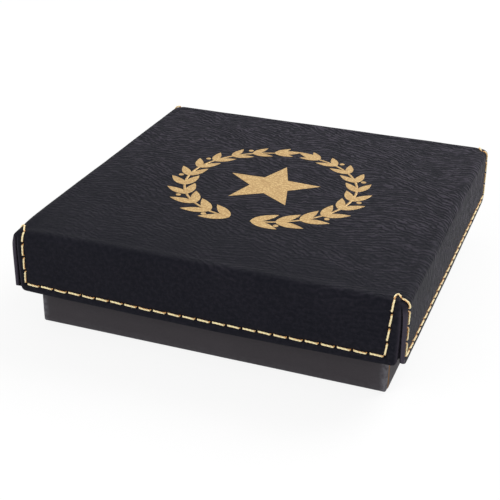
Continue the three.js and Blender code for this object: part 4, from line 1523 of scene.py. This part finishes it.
def build_base_wrap(scene):
    """The paper over the board: underside, edges, walls, rim and the part turned in."""
    base = scene.medal_box_base
    half, paper, edge = WRAP_HIGH.x, base.paper_thickness, base.edge_radius
    low, high = WRAP_LOW.z, WRAP_HIGH.z
    reach = half - edge
    paper_edge = reach - base.overlap_setback
    close = both_ways(0.04, 0.16, 0.3)
    stops = graded_stops(-reach, reach, [-paper_edge, paper_edge], close, 2.2 * MM, 0.03 * MM)
    clearance, rim = 0.3 * MM, 0.5 * MM
    inner_half = VELVET_HIGH.x + clearance
    under, turn_end, board = half - base.turn_under, high - base.turn_in, 1.2 * MM
    profile = [(under, low + paper), (under, low)]
    profile += [(under + (reach - under) * s, low) for s in (0.3, 0.6, 0.85, 1)]
    profile += [(reach + edge * s, low + edge - edge * c) for s, c in quarter_steps(5)]
    profile += [(half, z) for z in np.linspace(low + edge, high - edge, 13)[1:]]
    profile += [(reach + edge * c, high - edge + edge * s) for s, c in quarter_steps(5)]
    profile += [(reach - (reach - inner_half - rim) * s, high) for s in (0.5, 1)]
    profile += [(inner_half + rim - rim * s, high - rim + rim * c) for s, c in quarter_steps(3)]
    profile += [(inner_half, z) for z in np.linspace(high - rim, turn_end, 7)[1:]]
    profile += [(inner_half + paper, z) for z in np.linspace(turn_end, high - board, 5)]
    profile += [(half - paper, z) for z in np.linspace(high - board, low + board, 6)]
    profile.append((half - board, low + paper))
    rings, cuts, wear_and_highlights = zip(*[wrap_ring(base, half, stops, *place) for place in profile])
    mesh = mesh_from_rings("base_wrap_piece", rings, loop=True)
    store(mesh, "cut", np.concatenate(cuts))
    store(mesh, "edge", np.concatenate(wear_and_highlights))
    return mesh


def wrap_ring(base, half, stops, reach, z):
    """One ring of the wrap, with its marks of cut edge and of edge wear with painted highlight.

    The side papers stand proud by a step, and end short of the corner.
    """
    edge, least_radius, outer_depth = base.edge_radius, 0.25 * MM, 0.5 * MM
    cut_width, corner_wear_and_highlight, rim_width = 0.18 * MM, 0.9 * MM, 0.5 * MM
    radius = min(edge, max(least_radius, edge - (half - reach)))
    middle = reach - radius
    outside = reach > half - outer_depth
    step = base.overlap_step if outside else 0.0
    rim_wear_and_highlight = bell(min(abs(z - WRAP_LOW.z), abs(z - WRAP_HIGH.z)), rim_width)
    rows = []
    for side in range(SIDES):
        side_paper = side % 2 == 1
        for stop in stops[:-1]:
            from_corner = half - edge - abs(stop)
            proud = side_paper and from_corner > base.overlap_setback
            place = np.array([stop * middle / (half - edge), (0.0 if proud else step) - reach])
            cut = side_paper and abs(from_corner - base.overlap_setback) < cut_width
            wear_and_highlight = max(bell(from_corner, corner_wear_and_highlight), rim_wear_and_highlight)
            rows.append((*turned(place, side), outside and cut, wear_and_highlight if outside else 0.0))
        for sine, cosine in quarter_steps(6, first=0)[:-1]:
            place = np.array([middle + (radius - step) * sine, -middle - (radius - step) * cosine])
            rows.append((*turned(place, side), False, outside))
    x, y, cut, wear_and_highlight = np.array(rows, float).T
    ring = np.column_stack([x, y, np.full(len(x), z)])
    if outside:
        wave = soft_waves(ring, base.wave_size, seed=3.1) * base.unevenness
        away = ring[:, :2] / np.linalg.norm(ring[:, :2], axis=1)[:, None]
        ring[:, :2] -= away * np.abs(wave)[:, None] * (reach / half)
    return ring, cut, wear_and_highlight


# Insert


def recess_reach(insert, angles, margin):
    """Distance of the recess's wall from the middle, in each direction, grown by a margin."""
    seat, notch = insert.recess_radius + margin, insert.notch_radius + margin
    root = notch**2 - (insert.notch_offset * np.sin(angles)) ** 2
    sideways = insert.notch_offset * np.abs(np.cos(angles)) + np.sqrt(np.maximum(root, 0))
    reach = np.where(root > 0, sideways, 0)
    easing, share = 0.9 * MM, 0.35
    return np.maximum(seat, reach) + easing * np.exp(-np.abs(seat - reach) / easing) * share


def square_reach(half, radius, angles):
    """Distance of a rounded square's outline from its middle, in each direction."""
    diagonal, sharpest = 1 + (math.sqrt(2) - 1) * (1 - radius / half), 90
    power = min(sharpest, 2 / (1 - math.log(diagonal) / math.log(math.sqrt(2)) + 1e-6))
    c, s = np.abs(np.cos(angles)), np.abs(np.sin(angles))
    return half / (c**power + s**power) ** (1 / power)


def square_angles():
    """Directions from the middle, evenly spread along a square's sides, with its corners."""
    local = np.arctan2(-1.0, np.linspace(-1, 1, 72, endpoint=False))
    return np.concatenate([local + side * QUARTER for side in range(SIDES)])


def polar_rings(angles, places):
    """A ring of points for each pair of a reach and a height."""
    return [
        np.column_stack([
            reach * np.cos(angles), reach * np.sin(angles), np.broadcast_to(z, angles.shape)
        ])
        for reach, z in places
    ]


def build_velvet(scene):
    """The velvet: down the outside, over the padded top, down the recess's wall and across."""
    insert, angles = scene.medal_box_insert, square_angles()
    half, bottom = VELVET_HIGH.x, VELVET_LOW.z
    cloth, edge, lip = insert.velvet_thickness, insert.edge_radius, insert.lip_radius
    cove, floor, shoulder = insert.cove_radius, bottom + cloth, VELVET_HIGH.z - insert.crown
    corner, full_arch, wrinkle_size, wrinkle_depth = 0.9 * MM, 9 * MM, 9 * MM, 0.12 * MM
    fullness, foam_gap, foot_lift = 2.6, 0.1 * MM, 0.3 * MM
    outer = square_reach(half, corner, angles)
    wall = recess_reach(insert, angles, 0)
    places = [(outer, z) for z in np.linspace(bottom, shoulder - edge, 5)]
    for sine, cosine in quarter_steps(6):
        reach = outer - edge * (1 - cosine) / half * outer
        places.append((reach, shoulder - edge * (1 - sine)))
    start, end = np.abs(reach), wall + lip
    width = np.clip((start - end) / full_arch, 0.15, 1)
    for share in np.linspace(0, 1, 18)[1:]:
        arch = 1 - abs(2 * share - 1) ** fullness
        places.append((start + (end - start) * share, shoulder + insert.crown * arch * width))
    for sine, cosine in quarter_steps(6):
        places.append((wall + lip * (1 - sine), shoulder - lip * (1 - cosine)))
    places += [(wall, z) for z in np.linspace(shoulder - lip, floor + cove, 6)[1:]]
    for sine, cosine in quarter_steps(4):
        places.append((wall - cove * (1 - cosine), floor + cove * (1 - sine)))
    seat, behind, inner_top = wall - cove, wall + cloth, shoulder - cloth
    places += [(seat * share, floor) for share in (0.93, 0.82, 0.68, 0.52, 0.36, 0.2, 0.08)]
    rings = polar_rings(angles, places)
    for ring in rings:
        ring[:, 2] -= np.abs(soft_waves(ring, wrinkle_size, seed=7.7)) * wrinkle_depth
    under = [(seat * share, bottom) for share in (0.08, 0.5, 1)]
    under += [(behind, bottom + foot_lift), (behind, shoulder - lip)]
    under.append((behind + 0.5 * lip, inner_top - foam_gap))
    under.append((outer * (1 - 1.6 * cloth / half) - 0.4 * MM, inner_top - foam_gap))
    under += [(outer * (1 - cloth / half), z) for z in (inner_top - edge, bottom)]
    return mesh_from_rings("insert_velvet_piece", polar_rings(angles, under) + rings)


def build_foam(name, low, high, insert, margin=None):
    """A foam block with eased edges, with the recess cut through it where a margin is given."""
    angles, ease = square_angles(), insert.foam_edge
    outer = square_reach(high.x, ease, angles)
    top = outer - ease
    steps = quarter_steps(3, first=0)
    places = [(outer - ease * (1 - s), low.z + ease * (1 - c)) for s, c in steps]
    places += [(outer - ease * (1 - c), high.z - ease * (1 - s)) for s, c in steps]
    if margin is None:
        places = [(top * share, low.z) for share in (0.2, 0.5, 0.8)] + places
        places += [(top * share, high.z) for share in (0.8, 0.5, 0.2)]
        return mesh_from_rings(name, polar_rings(angles, places))
    wall = recess_reach(insert, angles, margin)
    midway = (top + wall) / 2
    places += [(midway, high.z), (wall + ease, high.z), (wall, high.z - ease)]
    places += [(wall, low.z + ease), (wall + ease, low.z), (midway, low.z)]
    return mesh_from_rings(name, polar_rings(angles, places), loop=True)


# Stage


def camera_matrix(stage):
    place, target = Vector(stage.camera_place), Vector(stage.camera_target)
    forward = (target - place).normalized()
    right = forward.cross(Vector((0, 0, 1))).normalized()
    up = right.cross(forward)
    c, s = math.cos(stage.camera_roll), math.sin(stage.camera_roll)
    columns = (c * right + s * up, -s * right + c * up, -forward)
    return Matrix.Translation(place) @ Matrix(columns).transposed().to_4x4()


def add_area_light(name, place, size, strength):
    """A soft square light aimed at the box. A strength of 1 lights a white face to white."""
    light = bpy.data.lights.new(name, "AREA")
    light.size = size
    light.energy = strength * (math.pi * Vector(place).length) ** 2
    lamp = show(name, light)
    lamp.location = place
    lamp.rotation_mode = "QUATERNION"
    lamp.rotation_quaternion = Vector(place).to_track_quat("Z", "Y")


def floor_material(stage):
    """A pale floor that the camera and glossy rays see mixed with plain white."""
    nodes = MaterialNodes("pale floor")
    path = nodes.outputs("ShaderNodeLightPath")
    seen = nodes.math("MAXIMUM", path["Is Camera Ray"], path["Is Glossy Ray"])
    diffuse = nodes.add("ShaderNodeBsdfDiffuse", {"Color": srgb(244, 244, 244)})
    white = nodes.add("ShaderNodeEmission", {"Color": WHITE, "Strength": 1.0})
    mix = {0: seen * stage.floor_whiteness, 1: diffuse, 2: white}
    return nodes.end(nodes.add("ShaderNodeMixShader", mix))


def build_stage(scene):
    stage = scene.medal_box_stage
    scene.view_settings.view_transform = "Standard"
    lens = bpy.data.cameras.new("camera")
    lens.lens = stage.camera_lens
    lens.clip_start = 10 * MM
    scene.camera = show("camera", lens)
    scene.camera.matrix_world = camera_matrix(stage)
    half = stage.floor_size / 2
    mesh = bpy.data.meshes.new("floor")
    corners = [(-half, -half, 0), (half, -half, 0), (half, half, 0), (-half, half, 0)]
    mesh.from_pydata(corners, [], [(0, 1, 2, 3)])
    mesh.materials.append(floor_material(stage))
    show("floor", mesh)
    key, fill = stage.key_strength, stage.fill_strength
    add_area_light("key light", place=(0.55, 0.75, 0.9), size=0.7, strength=key)
    add_area_light("fill light", place=(-0.5, -0.9, 0.7), size=0.8, strength=fill)
    scene.world = bpy.data.worlds.new("studio")
    nodes = Nodes(bare_tree(scene.world))
    sky, white = (
        nodes.add("ShaderNodeBackground", {"Color": WHITE, "Strength": strength})
        for strength in (stage.sky_strength, 1.0)
    )
    seen = nodes.add("ShaderNodeLightPath", output="Is Camera Ray")
    mixed = nodes.add("ShaderNodeMixShader", {0: seen, 1: sky, 2: white})
    nodes.node("ShaderNodeOutputWorld", {"Surface": mixed})


# Operators


class MEDAL_BOX_OT_stage(bpy.types.Operator):
    """Set the camera, the floor and the lights"""

    bl_idname = "medal_box.stage"
    bl_label = "Set the Stage"

    def execute(self, context):
        build_stage(context.scene)
        return {"FINISHED"}


class MEDAL_BOX_OT_lid_skin(bpy.types.Operator):
    """Make the leatherette skin of the lid"""

    bl_idname = "medal_box.lid_skin"
    bl_label = "Make the Lid Skin"

    def execute(self, context):
        material = leatherette_material(context.scene.medal_box_finish)
        piece = new_piece(build_lid_skin(context.scene), material, "lid")
        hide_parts("lid_skin")
        return {"FINISHED"}


class MEDAL_BOX_OT_thread(bpy.types.Operator):
    """Make the gold needle thread of the seam"""

    bl_idname = "medal_box.thread"
    bl_label = "Make the Thread"

    def execute(self, context):
        material = thread_material(context.scene.medal_box_finish)
        mesh = build_needle_thread(context.scene, material)
        piece = new_piece(mesh, material, "lid")
        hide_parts("needle_thread")
        return {"FINISHED"}


class MEDAL_BOX_OT_gold_print(bpy.types.Operator):
    """Make the wreath and the star printed on the lid"""

    bl_idname = "medal_box.gold_print"
    bl_label = "Make the Gold Print"

    def execute(self, context):
        material = gold_print_material(context.scene.medal_box_finish)
        for mesh in build_gold_print(context.scene, material):
            new_piece(mesh, material, "lid")
        return {"FINISHED"}


class MEDAL_BOX_OT_base_wrap(bpy.types.Operator):
    """Make the paper wrap of the base"""

    bl_idname = "medal_box.base_wrap"
    bl_label = "Make the Base Wrap"

    def execute(self, context):
        finish = context.scene.medal_box_finish
        material = paper_material("base paper", finish.base_paper, finish.paper_core, 0.6)
        piece = new_piece(build_base_wrap(context.scene), material, "base")
        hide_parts("base_wrap")
        return {"FINISHED"}


class MEDAL_BOX_OT_insert(bpy.types.Operator):
    """Make the pad, the foam and the velvet of the insert"""

    bl_idname = "medal_box.insert"
    bl_label = "Make the Insert"

    def execute(self, context):
        finish, insert = context.scene.medal_box_finish, context.scene.medal_box_insert
        foam = foam_material(finish)
        margin = insert.velvet_thickness + insert.glue_line
        pad_mesh = build_foam("insert_pad_piece", PAD_LOW, PAD_HIGH, insert)
        foam_mesh = build_foam("insert_foam_piece", FOAM_LOW, FOAM_HIGH, insert, margin)
        velvet_mesh = build_velvet(context.scene)
        for mesh, material, slot, node, fill in (
            (pad_mesh, foam, "insert_foam", "insert_pad", 1.0),
            (foam_mesh, foam, "insert_foam", "insert_foam", 1.0),
            (velvet_mesh, velvet_material(finish), "velvet", "insert_velvet", 0.9),
        ):
            piece = new_piece(mesh, material, "base")
            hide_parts(node)
        return {"FINISHED"}


class MEDAL_BOX_OT_hidden_parts(bpy.types.Operator):
    """Finish the boards, the stays, the linings, the bottom sheet and the bobbin thread"""

    bl_idname = "medal_box.hidden_parts"
    bl_label = "Finish the Boards and Linings"

    def execute(self, context):
        finish = context.scene.medal_box_finish
        lining = paper_material("lining paper", finish.lining_paper, finish.paper_core, 0.3, 0.8)
        under = paper_material("bottom paper", finish.base_paper, finish.paper_core, 0.3, 0.75)
        fibre = board_material("fibre board", finish.fibre_board, srgb(46, 38, 30))
        grey = board_material("grey board", finish.grey_board, srgb(98, 94, 90))
        kraft = board_material("kraft tape", finish.kraft_tape, srgb(132, 98, 62))
        bobbin = bobbin_material(finish)
        coats = {"base_board": grey, "base_bottom_sheet": under, "bobbin_thread": bobbin}
        coats |= {"lid_wall_lining": lining, "lid_top_lining": lining}
        for place in ("top", "front", "right", "back", "left"):
            coats[f"lid_{place}_board"] = fibre
        for place in ("front_right", "back_right", "back_left", "front_left"):
            coats[f"corner_stay_{place}"] = kraft
        for name, material in coats.items():
            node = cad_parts[name]
            if not node.material_slots:
                raise ValueError(f"{name} has no material slot to finish")
            for slot in node.material_slots:
                slot.material = material
        return {"FINISHED"}


PIECE_OPERATORS = (
    MEDAL_BOX_OT_stage,
    MEDAL_BOX_OT_lid_skin,
    MEDAL_BOX_OT_thread,
    MEDAL_BOX_OT_gold_print,
    MEDAL_BOX_OT_base_wrap,
    MEDAL_BOX_OT_insert,
    MEDAL_BOX_OT_hidden_parts,
)


class MEDAL_BOX_PT_panel(bpy.types.Panel):
    """Lists the steps that build the box"""

    bl_idname = "MEDAL_BOX_PT_panel"
    bl_label = "Medal Box"
    bl_space_type = "VIEW_3D"
    bl_region_type = "UI"
    bl_category = "Medal Box"

    def draw(self, context):
        for operator in PIECE_OPERATORS:
            self.layout.operator(operator.bl_idname)


SETTINGS = {
    "medal_box_skin": SkinSettings,
    "medal_box_seam": SeamSettings,
    "medal_box_foil": FoilSettings,
    "medal_box_base": BaseSettings,
    "medal_box_insert": InsertSettings,
    "medal_box_finish": FinishSettings,
    "medal_box_stage": StageSettings,
}


def register():
    for name, settings in SETTINGS.items():
        bpy.utils.register_class(settings)
        setattr(bpy.types.Scene, name, PointerProperty(type=settings))
    for operator in PIECE_OPERATORS:
        bpy.utils.register_class(operator)
    bpy.utils.register_class(MEDAL_BOX_PT_panel)


def unregister():
    bpy.utils.unregister_class(MEDAL_BOX_PT_panel)
    for operator in reversed(PIECE_OPERATORS):
        bpy.utils.unregister_class(operator)
    for name, settings in SETTINGS.items():
        delattr(bpy.types.Scene, name)
        bpy.utils.unregister_class(settings)


def main():
    register()
    steps = bpy.ops.medal_box
    for step in (
        steps.stage,
        steps.lid_skin,
        steps.thread,
        steps.gold_print,
        steps.base_wrap,
        steps.insert,
        steps.hidden_parts,
    ):
        step()


if __name__ == "__main__":
    main()
